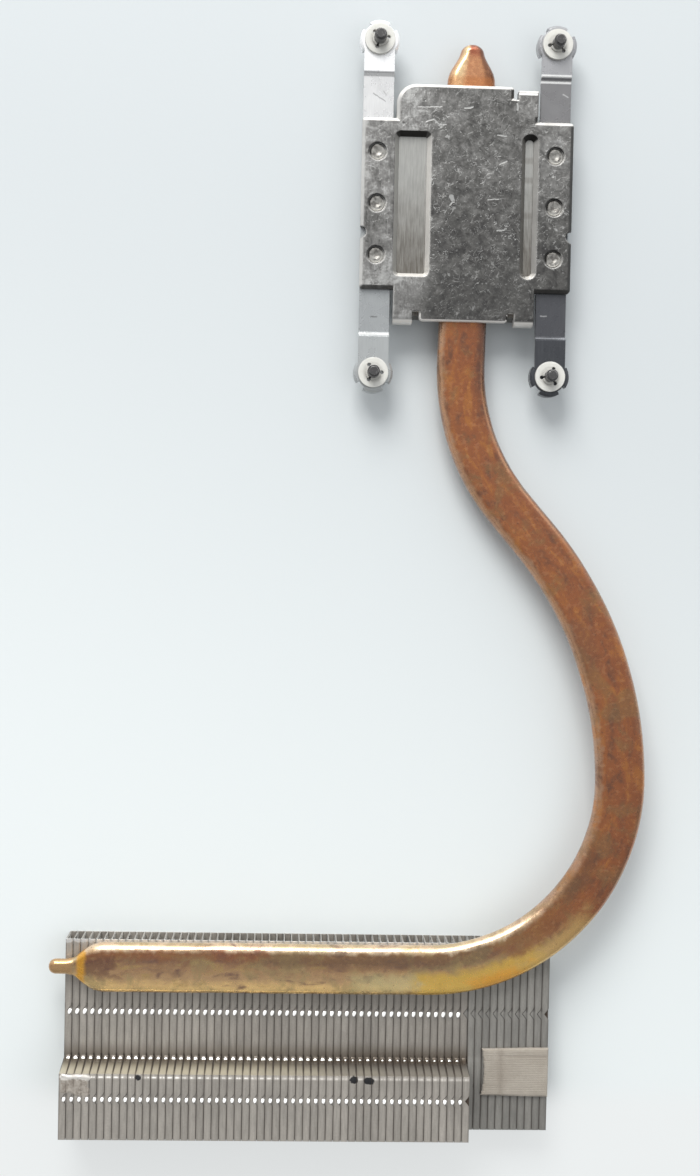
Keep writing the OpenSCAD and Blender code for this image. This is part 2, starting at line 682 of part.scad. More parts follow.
// Nylon washer that keeps a screw in its eye, with three grip slots that end in round holes
module washer(side, end) {
    color("#e8e8e4") translate([screw_x[side], screw_y[end], eye_top])
        rotate(washer_turns[end][side]) difference() {
            union() {
                cylinder(h = washer_t, r = washer_r);
                cylinder(h = washer_t + collar_h, r = collar_r);
            }
            translate([0, 0, -past])
                cylinder(h = washer_t + collar_h + 2*past, r = neck_r + washer_gap);
            for (a = [0, 120, 240]) rotate(a) translate([0, 0, -past]) {
                translate([neck_r, -grip_w/2, 0])
                    cube([grip_r - neck_r, grip_w, washer_t + collar_h + 2*past]);
                translate([grip_r, 0, 0])
                    cylinder(h = washer_t + collar_h + 2*past, r = grip_hole_r);
            }
        }
}

module washer_left_rear() { washer(0, 1); }
module washer_right_rear() { washer(1, 1); }
module washer_left_front() { washer(0, 0); }
module washer_right_front() { washer(1, 0); }

module foam_pad() {
    color("#a99f92") translate([stack_right - pad_w, stack_back - pad_from_back - pad_len, shelf_h])
        cube([pad_w, pad_len, pad_t]);
}

tall_fins();
short_fins();
heat_pipe();
base_plate();
pipe_saddle();
left_spring();
right_spring();
rivet_left_rear();
rivet_left_middle();
rivet_left_front();
rivet_right_rear();
rivet_right_middle();
rivet_right_front();
screw_left_rear();
screw_right_rear();
screw_left_front();
screw_right_front();
washer_left_rear();
washer_right_rear();
washer_left_front();
washer_right_front();
foam_pad();
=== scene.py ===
# Looks of a laptop processor cooler: floor, light, camera, materials and the pieces that need a
# finer form than the construction has. Blender works in metres; points and shaders here in millimetres.
import math
import random

import bpy
import numpy as np
from mathutils import Matrix, Vector


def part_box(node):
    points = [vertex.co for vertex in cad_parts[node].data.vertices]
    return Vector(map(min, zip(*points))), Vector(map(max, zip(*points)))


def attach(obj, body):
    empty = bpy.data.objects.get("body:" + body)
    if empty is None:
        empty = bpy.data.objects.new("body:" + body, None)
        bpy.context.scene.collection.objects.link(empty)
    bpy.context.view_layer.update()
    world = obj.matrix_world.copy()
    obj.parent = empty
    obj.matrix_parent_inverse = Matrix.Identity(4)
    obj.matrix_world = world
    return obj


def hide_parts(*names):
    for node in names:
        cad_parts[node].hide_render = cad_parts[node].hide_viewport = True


MM = 0.001
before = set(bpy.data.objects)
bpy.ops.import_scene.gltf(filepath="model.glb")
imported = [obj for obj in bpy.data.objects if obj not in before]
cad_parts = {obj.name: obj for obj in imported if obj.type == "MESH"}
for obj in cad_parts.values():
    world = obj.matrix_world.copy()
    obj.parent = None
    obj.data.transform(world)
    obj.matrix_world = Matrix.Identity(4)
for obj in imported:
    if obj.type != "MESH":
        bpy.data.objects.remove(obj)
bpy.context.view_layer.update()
scene = bpy.context.scene
scene.view_settings.view_transform = "Standard"

# Sizes that the construction uses too, in millimetres
FIN_PITCH = 1.24
FIN_FLANGE = 1.16
SEAM = FIN_PITCH - FIN_FLANGE
TALL_COUNT = 54
SHORT_COUNT = 11
SHELF_Z = 5.2
TALL_Z = 10.8
STACK_BACK = -60.3
STACK_FRONT = -91.7
STACK_LEFT = -46.4
LOCK_REAR_Y = STACK_BACK - 11.8
LOCK_FRONT_Y = STACK_FRONT + 6.8
STEP_Y = STACK_BACK - 19.7
STEP_RUN = 0.9
BLOCK = Vector((17.0, 61.3))
SCREW_DX = 29.2
SCREW_DY = 54.3
SADDLE_H = 5.0
PLATE_TOP = SADDLE_H + 1.2


def box_mm(node):
    low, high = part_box(node)
    return low/MM, high/MM


# Colours


def channel(value):
    value /= 255
    return value/12.92 if value <= 0.04045 else ((value + 0.055)/1.055)**2.4


def tone(r, g, b):
    """Colour as seen on a screen, 0 to 255, as the linear colour that the shaders take."""
    return channel(r), channel(g), channel(b), 1.0


# Shader graphs


class Graph:
    """Builds one material's nodes; every value may be a number, a colour or another node's output."""

    def __init__(self, name):
        self.material = bpy.data.materials.new(name)
        self.material.use_nodes = True
        self.tree = self.material.node_tree
        self.tree.nodes.clear()
        self.output = self.tree.nodes.new("ShaderNodeOutputMaterial")
        place = self.add("ShaderNodeTexCoord").outputs["Object"]
        self.place = self.vector("SCALE", place, scale=1/MM)
        split = self.add("ShaderNodeSeparateXYZ", {0: self.place})
        self.x, self.y, self.z = split.outputs
        facing = self.add("ShaderNodeSeparateXYZ", {0: self.add("ShaderNodeNewGeometry").outputs["Normal"]})
        self.facing_x, self.facing_y, self.facing_z = facing.outputs

    def add(self, kind, inputs=None, **settings):
        node = self.tree.nodes.new(kind)
        for key, value in settings.items():
            setattr(node, key, value)
        for key, value in (inputs or {}).items():
            if isinstance(value, bpy.types.NodeSocket):
                self.tree.links.new(value, node.inputs[key])
            else:
                node.inputs[key].default_value = value
        return node

    def math(self, operation, a, b=0.0, c=0.0, clamp=False):
        node = self.add("ShaderNodeMath", {0: a, 1: b, 2: c}, operation=operation, use_clamp=clamp)
        return node.outputs[0]

    def plus(self, a, b):
        return self.math("ADD", a, b)

    def minus(self, a, b):
        return self.math("SUBTRACT", a, b)

    def times(self, a, b):
        return self.math("MULTIPLY", a, b)

    def vector(self, operation, a, b=None, scale=None):
        inputs = {0: a}
        if b is not None:
            inputs[1] = b
        if scale is not None:
            inputs["Scale"] = scale
        node = self.add("ShaderNodeVectorMath", inputs, operation=operation)
        return node.outputs["Value" if operation in ("LENGTH", "DISTANCE", "DOT_PRODUCT") else "Vector"]

    def span(self, value, low, high, out_low=0.0, out_high=1.0):
        """Smooth step from out_low at low to out_high at high."""
        node = self.add("ShaderNodeMapRange", {0: value, 1: low, 2: high, 3: out_low, 4: out_high},
                        interpolation_type="SMOOTHSTEP")
        return node.outputs[0]

    def window(self, value, low, high, soft):
        """1 between low and high, with soft edges."""
        return self.times(self.span(value, low - soft, low + soft), self.span(value, high + soft, high - soft))

    def mix(self, share, a, b, blend="MIX"):
        node = self.add("ShaderNodeMix", {0: share, 6: a, 7: b}, data_type="RGBA", blend_type=blend)
        return node.outputs[2]

    def ramp(self, value, stops):
        node = self.add("ShaderNodeValToRGB", {0: value})
        ramp = node.color_ramp
        while len(ramp.elements) < len(stops):
            ramp.elements.new(1.0)
        for element, (position, colour) in zip(ramp.elements, stops):
            element.position = position
            element.color = colour if isinstance(colour, tuple) else (colour, colour, colour, 1.0)
        return node.outputs[0]

    def stretched(self, sx, sy, sz):
        return self.vector("MULTIPLY", self.place, (sx, sy, sz))

    def noise(self, scale, detail=3.0, rough=0.55, twist=0.0, at=None):
        node = self.add("ShaderNodeTexNoise", {"Vector": self.place if at is None else at, "Scale": scale,
                                               "Detail": detail, "Roughness": rough, "Distortion": twist})
        return node.outputs[0]

    def stroke(self, x0, y0, x1, y1, width, soft=0.06, wobble=None):
        """1 along the straight line between two points, as seen from above."""
        flat = self.add("ShaderNodeCombineXYZ", {0: self.x, 1: self.y}).outputs[0]
        if wobble is not None:
            flat = self.vector("MULTIPLY", self.vector("ADD", flat, wobble), (1.0, 1.0, 0.0))
        run = Vector((x1 - x0, y1 - y0, 0.0))
        away = self.vector("SUBTRACT", flat, (x0, y0, 0.0))
        along = self.math("DIVIDE", self.vector("DOT_PRODUCT", away, tuple(run)), run.length_squared, clamp=True)
        foot = self.vector("SCALE", tuple(run), scale=along)
        gap = self.vector("DISTANCE", away, foot)
        return self.span(gap, width/2 + soft, width/2 - soft)

    def bump(self, height, depth, strength=1.0, normal=None):
        """Bends the normal by a height in millimetres times depth."""
        inputs = {"Height": height, "Distance": depth*MM, "Strength": strength}
        if normal is not None:
            inputs["Normal"] = normal
        return self.add("ShaderNodeBump", inputs).outputs[0]

    def rounded(self, radius):
        """Normal with the sharp edges rounded off by a radius in millimetres."""
        return self.add("ShaderNodeBevel", {"Radius": radius*MM}, samples=4).outputs[0]

    def surface(self, colour, metallic, roughness, normal=None, **more):
        inputs = {"Base Color": colour, "Metallic": metallic, "Roughness": roughness}
        inputs.update({key.replace("_", " ").title(): value for key, value in more.items()})
        if normal is not None:
            inputs["Normal"] = normal
        shader = self.add("ShaderNodeBsdfPrincipled", inputs)
        self.tree.links.new(shader.outputs[0], self.output.inputs[0])
        return self.material


def dress(target, material):
    target.data.materials.clear()
    target.data.materials.append(material)


# Camera, floor and light

FOCAL_PX = 1540.0
PHOTO_H = 1176.0
SENSOR = 36.0
CAMERA_AT = Vector((-9.96, 5.73, 259.5))
YAW, PITCH, ROLL = (math.radians(a) for a in (2.1, 1.6, 1.2))


def make_camera():
    down_view = Matrix(((1, 0, 0), (0, -1, 0), (0, 0, -1)))
    yaw = Matrix(((math.cos(YAW), 0, -math.sin(YAW)), (0, 1, 0), (math.sin(YAW), 0, math.cos(YAW))))
    pitch = Matrix(((1, 0, 0), (0, math.cos(PITCH), -math.sin(PITCH)), (0, math.sin(PITCH), math.cos(PITCH))))
    roll = Matrix(((math.cos(ROLL), -math.sin(ROLL), 0), (math.sin(ROLL), math.cos(ROLL), 0), (0, 0, 1)))
    right, down, ahead = roll @ pitch @ yaw @ down_view
    data = bpy.data.cameras.new("camera")
    data.sensor_width = SENSOR
    data.lens = FOCAL_PX/PHOTO_H*SENSOR
    data.clip_start = 0.01
    data.clip_end = 20
    camera = bpy.data.objects.new("camera", data)
    turn = Matrix((right, -down, -ahead)).transposed()
    camera.matrix_world = Matrix.Translation(CAMERA_AT*MM) @ turn.to_4x4()
    scene.collection.objects.link(camera)
    scene.camera = camera


def make_floor():
    size = 1.6
    bpy.ops.mesh.primitive_plane_add(size=size, location=(0, 0, -0.00002))
    floor = bpy.context.object
    floor.name = "paper"
    g = Graph("paper_white")
    sheet = g.plus(g.times(g.y, -1.0), g.times(g.x, -0.25))
    shade = g.span(sheet, -70.0, 80.0)
    colour = g.mix(shade, tone(197, 202, 204), tone(222, 227, 227))
    # Outside the photo's frame, the paper under the window lamp is darker, so that it doesn't clip to white
    colour = g.mix(g.span(g.y, 115.0, 420.0), colour, tone(168, 172, 174))
    grain = g.bump(g.noise(1.4, 4.0), 0.02, 0.3)
    material = g.surface(colour, 0.0, 0.85, grain)
    # In front of the fins the floor glows for the camera, a painted light that washes out most of the fins' cast
    # shadow
    strip = g.times(g.span(g.y, -84.0, -91.0), g.span(g.y, -170.0, -130.0))
    strip = g.times(strip, g.add("ShaderNodeLightPath").outputs["Is Camera Ray"])
    paper = g.add("ShaderNodeEmission", {"Color": tone(238, 240, 240), "Strength": 1.0}).outputs[0]
    seen = g.add("ShaderNodeMixShader", {0: g.times(strip, 0.7), 1: g.output.inputs[0].links[0].from_socket, 2: paper})
    g.tree.links.new(seen.outputs[0], g.output.inputs[0])
    dress(floor, material)


def make_lamp(name, at, aim, size, power, colour=(1, 1, 1), mirrored=True):
    data = bpy.data.lights.new(name, "AREA")
    data.shape = "RECTANGLE"
    data.size, data.size_y = size
    data.energy = power
    data.color = colour
    lamp = bpy.data.objects.new(name, data)
    lamp.location = at
    lamp.rotation_euler = (Vector(aim) - Vector(at)).to_track_quat("-Z", "Y").to_euler()
    lamp.visible_glossy = mirrored
    scene.collection.objects.link(lamp)


def make_world():
    """Pale room: bright low down towards +Y, where the window is, and dimmer straight above."""
    world = bpy.data.worlds.new("room")
    scene.world = world
    world.use_nodes = True
    nodes, links = world.node_tree.nodes, world.node_tree.links
    nodes.clear()
    way = nodes.new("ShaderNodeTexCoord")
    split = nodes.new("ShaderNodeSeparateXYZ")
    links.new(way.outputs["Generated"], split.inputs[0])
    parts = []
    for limits in ((-0.30, 0.80, 0.46, 1.0), (0.70, 0.97, 0.0, 1.3)):
        side = nodes.new("ShaderNodeMapRange")
        side.interpolation_type = "SMOOTHSTEP"
        links.new(split.outputs[1], side.inputs[0])
        for k, value in enumerate(limits, 1):
            side.inputs[k].default_value = value
        parts.append(side.outputs[0])
    total = nodes.new("ShaderNodeMath")
    for part, socket in zip(parts, total.inputs):
        links.new(part, socket)
    background = nodes.new("ShaderNodeBackground")
    background.inputs[0].default_value = (0.96, 0.98, 1.0, 1.0)
    links.new(total.outputs[0], background.inputs[1])
    # The camera sees one plain pale tone behind the floor from every side
    backdrop = nodes.new("ShaderNodeBackground")
    backdrop.inputs[0].default_value = tone(226, 231, 233)
    backdrop.inputs[1].default_value = 1.0
    light_path = nodes.new("ShaderNodeLightPath")
    seen = nodes.new("ShaderNodeMixShader")
    links.new(light_path.outputs["Is Camera Ray"], seen.inputs[0])
    links.new(background.outputs[0], seen.inputs[1])
    links.new(backdrop.outputs[0], seen.inputs[2])
    output = nodes.new("ShaderNodeOutputWorld")
    links.new(seen.outputs[0], output.inputs[0])


make_camera()
make_floor()
make_world()
make_lamp("window_light", (-0.15, 0.58, 0.47), (0, 0, 0), (0.4, 0.36), 5.0, (1.0, 0.99, 0.97))
make_lamp("fill_light", (0.35, -0.15, 0.75), (0, 0, 0), (0.6, 0.6), 0.9, (0.98, 0.99, 1.0), False)


# Mesh helpers


def make_mesh(name, points, faces, smooth=True):
    """Mesh object from points in millimetres, in the part's own frame."""
    mesh = bpy.data.meshes.new(name)
    mesh.from_pydata([tuple(Vector(p)*MM) for p in points], [], faces)
    mesh.validate()
    mesh.update()
    if smooth:
        mesh.polygons.foreach_set("use_smooth", [True]*len(mesh.polygons))
    piece = bpy.data.objects.new(name, mesh)
    scene.collection.objects.link(piece)
    return piece


def settle(piece, slot, material, *replaced):
    """Gives a new piece its material and its body, and hides the nodes that it replaces."""
    dress(piece, material)
    if replaced:
        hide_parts(*replaced)
    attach(piece, "root")


# Heat pipe

PIPE_T = 3.0
PIPE_W_PLATE = 8.0
PIPE_W_FINS = 8.3
PLATE_MID_Y = BLOCK.y + 1.15
PIPE_X = BLOCK.x + 0.45
PIPE_LEAN = math.radians(0.8)
SIDE_X = STACK_LEFT + (TALL_COUNT + SHORT_COUNT)*FIN_PITCH + 10.55
FINS_Y = STACK_BACK - 4.15
CORNER_R = 31.4
BEND_Y = FINS_Y + CORNER_R
CORNER_X = SIDE_X - CORNER_R
S_ANGLE = math.radians(40.5)
S_R_PLATE = 35.0
S_R_FINS = 62.5
NOSE_LEN = 7.2
NOSE_DOME = 1.5
NOSE_ROUND = 0.8
NOSE_FLARE = ((0.0, 3.7), (1.5, 3.95), (2.2, 4.45), (3.1, 5.45), (4.0, 6.55), (4.8, 7.35), (5.6, 7.8), (7.2, 8.0))
TAPER = ((0.0, 2.9), (0.35, 3.2), (0.8, 3.9), (1.3, 4.8), (2.0, 5.9), (2.9, 7.1), (3.6, 7.7), (4.4, 8.15), (5.0, 8.3))
SHOULDER_LEN = 0.35
STUB_W = 2.5
STUB_T = 2.0
STUB_LEN = 3.9
TIP_LEN = 1.25
STUB_X = STACK_LEFT - 2.5
SHOULDER_X = STUB_X + STUB_LEN + SHOULDER_LEN
Z_FINS = SHELF_Z + PIPE_T/2
Z_PLATE = SADDLE_H - PIPE_T/2
RING_STEP = 1.0
RING_SIDES = 44


def smooth(t):
    return t*t*(3 - 2*t)


def mix(a, b, t):
    return a + (b - a)*t


def line_x(y):
    return PIPE_X + (y - PLATE_MID_Y)*math.tan(PIPE_LEAN)


def nose_rings(nose_y):
    """Rounded end and bell of the drawn nose."""
    rings = []
    places, widths = zip(*NOSE_FLARE)

    def ring(s, full):
        width = float(np.interp(s, places, widths))*full
        y = nose_y - s*math.cos(PIPE_LEAN)
        rings.append((line_x(y), y, Z_PLATE, -math.pi/2 - PIPE_LEAN, width, min(PIPE_T, width*NOSE_ROUND)))

    dome_steps = 14
    dome_start = math.radians(5)
    for i in range(dome_steps + 1):
        a = mix(dome_start, math.pi/2, i/dome_steps)
        ring(NOSE_DOME*(1 - math.cos(a)), math.sin(a))
    bell_steps = 19
    for i in range(1, bell_steps + 1):
        ring(mix(NOSE_DOME, NOSE_LEN, i/bell_steps), 1)
    return rings


def bend_rings(nose_y):
    """Straight under the plate, the double bend with the drop, and the corner onto the fins."""
    rings = []
    down = -math.pi/2
    low_x = SIDE_X - S_R_FINS*(1 - math.cos(S_ANGLE))
    low_y = BEND_Y + S_R_FINS*math.sin(S_ANGLE)
    leg = (low_x - line_x(low_y))/(math.sin(S_ANGLE) + math.cos(S_ANGLE)*math.tan(PIPE_LEAN))
    turn = S_ANGLE + PIPE_LEAN
    cut = S_R_PLATE*math.tan(turn/2)
    run = leg - cut
    start_y = low_y + leg*math.cos(S_ANGLE) + cut*math.cos(PIPE_LEAN)
    mid_x = line_x(start_y) + S_R_PLATE*math.cos(PIPE_LEAN)
    mid_y = start_y - S_R_PLATE*math.sin(PIPE_LEAN)
    high_x, high_y = low_x - run*math.sin(S_ANGLE), low_y + run*math.cos(S_ANGLE)
    len_high, len_low = S_R_PLATE*turn, S_R_FINS*S_ANGLE
    total = len_high + run + len_low

    def ring(x, y, done, heading):
        t = smooth(done/total)
        rings.append((x, y, mix(Z_PLATE, Z_FINS, t), heading, mix(PIPE_W_PLATE, PIPE_W_FINS, t), PIPE_T))

    top_y = nose_y - NOSE_LEN*math.cos(PIPE_LEAN)
    steps = round((top_y - start_y)/RING_STEP)
    for i in range(1, steps):
        y = mix(top_y, start_y, i/steps)
        ring(line_x(y), y, 0.0, down - PIPE_LEAN)
    steps = round(len_high/RING_STEP)
    for i in range(steps + 1):
        a = turn*i/steps - PIPE_LEAN
        ring(mid_x - S_R_PLATE*math.cos(a), mid_y - S_R_PLATE*math.sin(a), len_high*i/steps, a + down)
    steps = round(run/RING_STEP)
    for i in range(1, steps):
        t = i/steps
        ring(mix(high_x, low_x, t), mix(high_y, low_y, t), len_high + run*t, S_ANGLE + down)
    steps = round(len_low/RING_STEP)
    for i in range(steps + 1):
        a = S_ANGLE*(1 - i/steps)
        ring(SIDE_X - S_R_FINS*(1 - math.cos(a)), BEND_Y + S_R_FINS*math.sin(a), len_high + run + len_low*i/steps,
             a + down)
    steps = round(CORNER_R*math.pi/2/RING_STEP)
    for i in range(1, steps + 1):
        a = math.pi/2*i/steps
        ring(SIDE_X - CORNER_R*(1 - math.cos(a)), BEND_Y - CORNER_R*math.sin(a), total, down - a)
    return rings


def stub_rings():
    """Straight on the fins, the taper, and the filling stub with its closed round tip."""
    rings = []
    places, widths = zip(*TAPER)

    def ring(x, width, thickness):
        rings.append((x, FINS_Y, Z_FINS, -math.pi, width, thickness))

    neck_x = SHOULDER_X - SHOULDER_LEN
    taper_x = neck_x + places[-1]
    steps = round((CORNER_X - taper_x)/RING_STEP)
    for i in range(1, steps):
        ring(mix(CORNER_X, taper_x, i/steps), PIPE_W_FINS, PIPE_T)
    steps = 25
    for i in range(steps, -1, -1):
        s = places[-1]*i/steps
        ring(neck_x + s, float(np.interp(s, places, widths)), mix(STUB_T, PIPE_T, smooth(i/steps)))
    tip_x = STUB_X + TIP_LEN
    steps = 6
    for i in range(1, steps + 1):
        ring(mix(neck_x, tip_x, i/steps), mix(2.9, STUB_W, smooth(min(1.0, 2.0*i/steps))), STUB_T)
    steps = 10
    for i in range(1, steps + 1):
        a = math.radians(86)*i/steps
        ring(tip_x - TIP_LEN*math.sin(a), STUB_W*math.cos(a)**0.8, STUB_T*math.cos(a)**0.8)
    return rings


def pipe_section(width, thickness):
    """Flattened round: two half rounds joined by flats, as (across, up) pairs."""
    half = RING_SIDES//2
    points = []
    for side in (1, -1):
        for i in range(half):
            a = side*(-math.pi/2 + math.pi*i/(half - 1))
            across = side*((width - thickness)/2 + thickness/2*math.cos(a))
            points.append((across, thickness/2*math.sin(a)))
    return points


def make_pipe():
    """Flattened pipe with the slight waviness of a pressed and bent tube; its points know their place
    along the pipe, in millimetres from the nose, and across it, from -1 to 1."""
    nose_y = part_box("heat_pipe")[1].y/MM
    rings = nose_rings(nose_y) + bend_rings(nose_y) + stub_rings()
    wave = random.Random(4)
    phases = [wave.uniform(0, 2*math.pi) for _ in range(4)]
    points, faces, along, sideways = [], [], [], []
    done = 0.0
    for k, (x, y, z, heading, width, thickness) in enumerate(rings):
        if k:
            done += math.hypot(x - rings[k - 1][0], y - rings[k - 1][1])
        sway = 0.018*math.sin(done/5.1 + phases[0]) + 0.012*math.sin(done/2.3 + phases[1])
        slim = 1 - 0.004*(1 + math.sin(done/7.7 + phases[2])) - 0.002*math.sin(done/3.1 + phases[3])
        ca, sa = math.cos(heading + math.pi/2), math.sin(heading + math.pi/2)
        for across, up in pipe_section(width*slim, thickness*0.995):
            along.append(done)
            sideways.append(across/(width/2))
            across += sway*(width/PIPE_W_FINS)
            points.append((x + across*ca, y + across*sa, z + up))
    n = RING_SIDES
    last = len(rings) - 1
    for k in range(last):
        for j in range(n):
            faces.append((k*n + j, k*n + (j + 1) % n, (k + 1)*n + (j + 1) % n, (k + 1)*n + j))
    for ring, order in ((0, -1), (last, 1)):
        centre = Vector((0, 0, 0))
        for j in range(n):
            centre += Vector(points[ring*n + j])
        points.append(tuple(centre/n))
        along.append(along[ring*n])
        sideways.append(0.0)
        hub = len(points) - 1
        for j in range(n):
            a, b = ring*n + j, ring*n + (j + 1) % n
            faces.append((a, hub, b) if order < 0 else (a, b, hub))
    piece = make_mesh("pipe", points, faces)
    for name, values in (("along", along), ("across", sideways)):
        layer = piece.data.attributes.new(name, "FLOAT", "POINT")
        layer.data.foreach_set("value", values)
    return piece


def copper_material():
    """Copper with a brown and mauve film, heat-tinted gold where it lies on the fins; painted highlights and
    reflections lie along its edges, and painted light and shade on its nose.
    """
    g = Graph("pipe_copper")
    along = g.add("ShaderNodeAttribute", attribute_name="along").outputs["Fac"]
    across = g.add("ShaderNodeAttribute", attribute_name="across").outputs["Fac"]
    lane = g.add("ShaderNodeCombineXYZ", {0: along, 1: g.times(across, 4.0), 2: 0.0}).outputs[0]
    drawn = g.noise(1.0, 4.0, 0.62, 0.6, g.vector("MULTIPLY", lane, (0.17, 0.5, 1.0)))
    middle = g.noise(0.34, 3.5, 0.6, 0.8)
    fine = g.noise(1.6, 1.5, 0.5)
    specks = g.noise(3.4, 2.0, 0.5)
    wander = g.times(g.minus(g.noise(0.5, 3.0, 0.6), 0.5), 0.5)
    place = g.plus(g.times(g.plus(across, wander), 0.5), 0.5)
    # Colour across the pipe. The bare copper is pale along one edge, a painted reflection, and greyer along the other;
    # on the fins the film is painted pale cream along its rear edge, a painted highlight, and golden along its front
    # edge.
    bare_and_edge_reflection = g.ramp(place, [(0.0, tone(168, 134, 112)), (0.08, tone(178, 138, 108)), (0.17, tone(160, 98, 60)),
                          (0.5, tone(156, 94, 59)), (0.84, tone(150, 91, 58)), (0.93, tone(156, 104, 74)),
                          (1.0, tone(140, 118, 103))])
    film = g.ramp(place, [(0.0, tone(220, 190, 156)), (0.12, tone(246, 222, 188)), (0.19, tone(160, 116, 78)),
                          (0.33, tone(146, 108, 82)), (0.5, tone(180, 142, 104)), (0.68, tone(196, 160, 118)),
                          (0.84, tone(244, 204, 138)), (0.94, tone(255, 216, 146)), (1.0, tone(168, 124, 78))])
    on_fins = g.span(along, 148.0, 166.0)
    colour = g.mix(on_fins, bare_and_edge_reflection, film)
    mauve = g.times(g.span(drawn, 0.48, 0.66), g.span(middle, 0.38, 0.6))
    colour = g.mix(g.times(mauve, 0.85), colour, g.mix(on_fins, tone(116, 78, 60), tone(124, 94, 82)))
    amber = g.times(g.span(drawn, 0.52, 0.36), g.span(middle, 0.6, 0.42))
    colour = g.mix(g.times(amber, 0.75), colour, g.mix(on_fins, tone(182, 118, 62), tone(186, 154, 100)))
    olive = g.times(g.span(g.noise(0.2, 4.0, 0.62, 0.4), 0.5, 0.62), 0.5)
    colour = g.mix(olive, colour, g.mix(on_fins, tone(142, 110, 74), tone(168, 150, 106)))

    def zone(start, end, low, high, share, shade, soft=2.5):
        """Stain between two places along the pipe and two places across it, with a broken outline."""
        nonlocal colour
        spread = g.times(g.minus(middle, 0.5), 12.0)
        reach = g.window(g.plus(along, spread), start, end, soft)
        band = g.window(g.plus(across, wander), low, high, 0.22)
        colour = g.mix(g.times(g.times(reach, band), share), colour, shade)

    zone(160.0, 181.0, 0.1, 1.2, 0.75, tone(232, 190, 82))
    zone(163.0, 171.0, 0.45, 1.1, 0.7, tone(236, 162, 56))
    zone(180.0, 191.0, 0.15, 0.8, 0.6, tone(220, 204, 148))
    zone(166.0, 206.0, -0.75, -0.15, 0.55, tone(124, 98, 74))
    zone(152.0, 165.0, -0.7, 0.2, 0.6, tone(146, 92, 54))
    zone(142.0, 150.0, -0.75, -0.1, 0.6, tone(114, 84, 64))
    zone(150.0, 163.0, 0.3, 1.1, 0.6, tone(206, 172, 108))
    zone(206.0, 234.0, -0.8, -0.45, 0.6, tone(148, 86, 56))
    zone(229.0, 234.0, -0.5, 0.35, 0.6, tone(106, 68, 58), 1.0)
    zone(100.0, 108.0, -0.9, 0.0, 0.4, tone(120, 84, 66))
    zone(38.0, 58.0, 0.62, 1.2, 0.75, tone(100, 68, 56))
    over_fins = g.span(g.y, -50.0, -58.0)
    neck = g.times(g.window(g.plus(g.x, g.times(g.minus(middle, 0.5), 1.5)), -44.3, -43.1, 0.35), over_fins)
    colour = g.mix(g.times(neck, 0.85), colour, tone(228, 164, 46))
    colour = g.mix(g.times(g.times(g.span(g.x, -44.6, -45.4), over_fins), 0.7), colour, tone(188, 146, 98))
    # Thin pale lines just inside both edges of the double bend, painted highlights where the rounded sides catch the
    # light
    for start, end, low, high, share in ((54.0, 90.0, 0.8, 0.86, 0.7), (22.0, 64.0, -0.9, -0.82, 0.4),
                                         (60.0, 120.0, -0.9, -0.8, 0.4), (96.0, 150.0, 0.9, 0.97, 0.35)):
        line = g.times(g.window(along, start, end, 8.0), g.window(across, low, high, 0.07))
        line = g.times(line, g.span(middle, 0.36, 0.52, 0.45, 1.0))
        colour = g.mix(g.times(line, share), colour, tone(232, 176, 134))
    # The drawn nose is brighter copper, reddish at its tip; the pale on its left is a painted highlight and the dark
    # on its right is painted shade
    drawn_nose = g.span(along, 9.5, 6.5)
    colour = g.mix(g.times(drawn_nose, 0.85), colour, tone(196, 138, 98))
    colour = g.mix(g.times(g.span(along, 2.8, 1.5), 0.85), colour, tone(156, 84, 60))
    nose_painted_highlight = g.times(drawn_nose, g.window(across, -0.85, -0.35, 0.2))
    colour = g.mix(g.times(nose_painted_highlight, 0.8), colour, tone(236, 208, 160))
    colour = g.mix(g.times(g.times(drawn_nose, g.span(across, 0.42, 0.66)), 0.85), colour, tone(112, 70, 48))
    colour = g.mix(g.times(g.window(along, 5.6, 8.2, 0.5), 0.45), colour, tone(196, 118, 58))
    colour = g.mix(g.times(g.span(specks, 0.68, 0.74), 0.75), colour, tone(84, 56, 42))
    colour = g.mix(g.times(g.span(fine, 0.5, 0.75), 0.12), colour, tone(210, 172, 132))
    dents = g.noise(0.55, 2.0, 0.5, 0.4, g.vector("MULTIPLY", lane, (0.45, 1.0, 1.0)))
    height = g.plus(g.plus(g.times(fine, 0.06), g.times(middle, 0.5)), g.times(dents, 1.6))
    return g.surface(colour, 0.72, g.span(fine, 0.3, 0.75, 0.2, 0.32), g.bump(height, 0.06, 0.5),
                     coat_weight=0.5, coat_roughness=0.07)


# Fins

TALL_RIGHT = STACK_LEFT + TALL_COUNT*FIN_PITCH


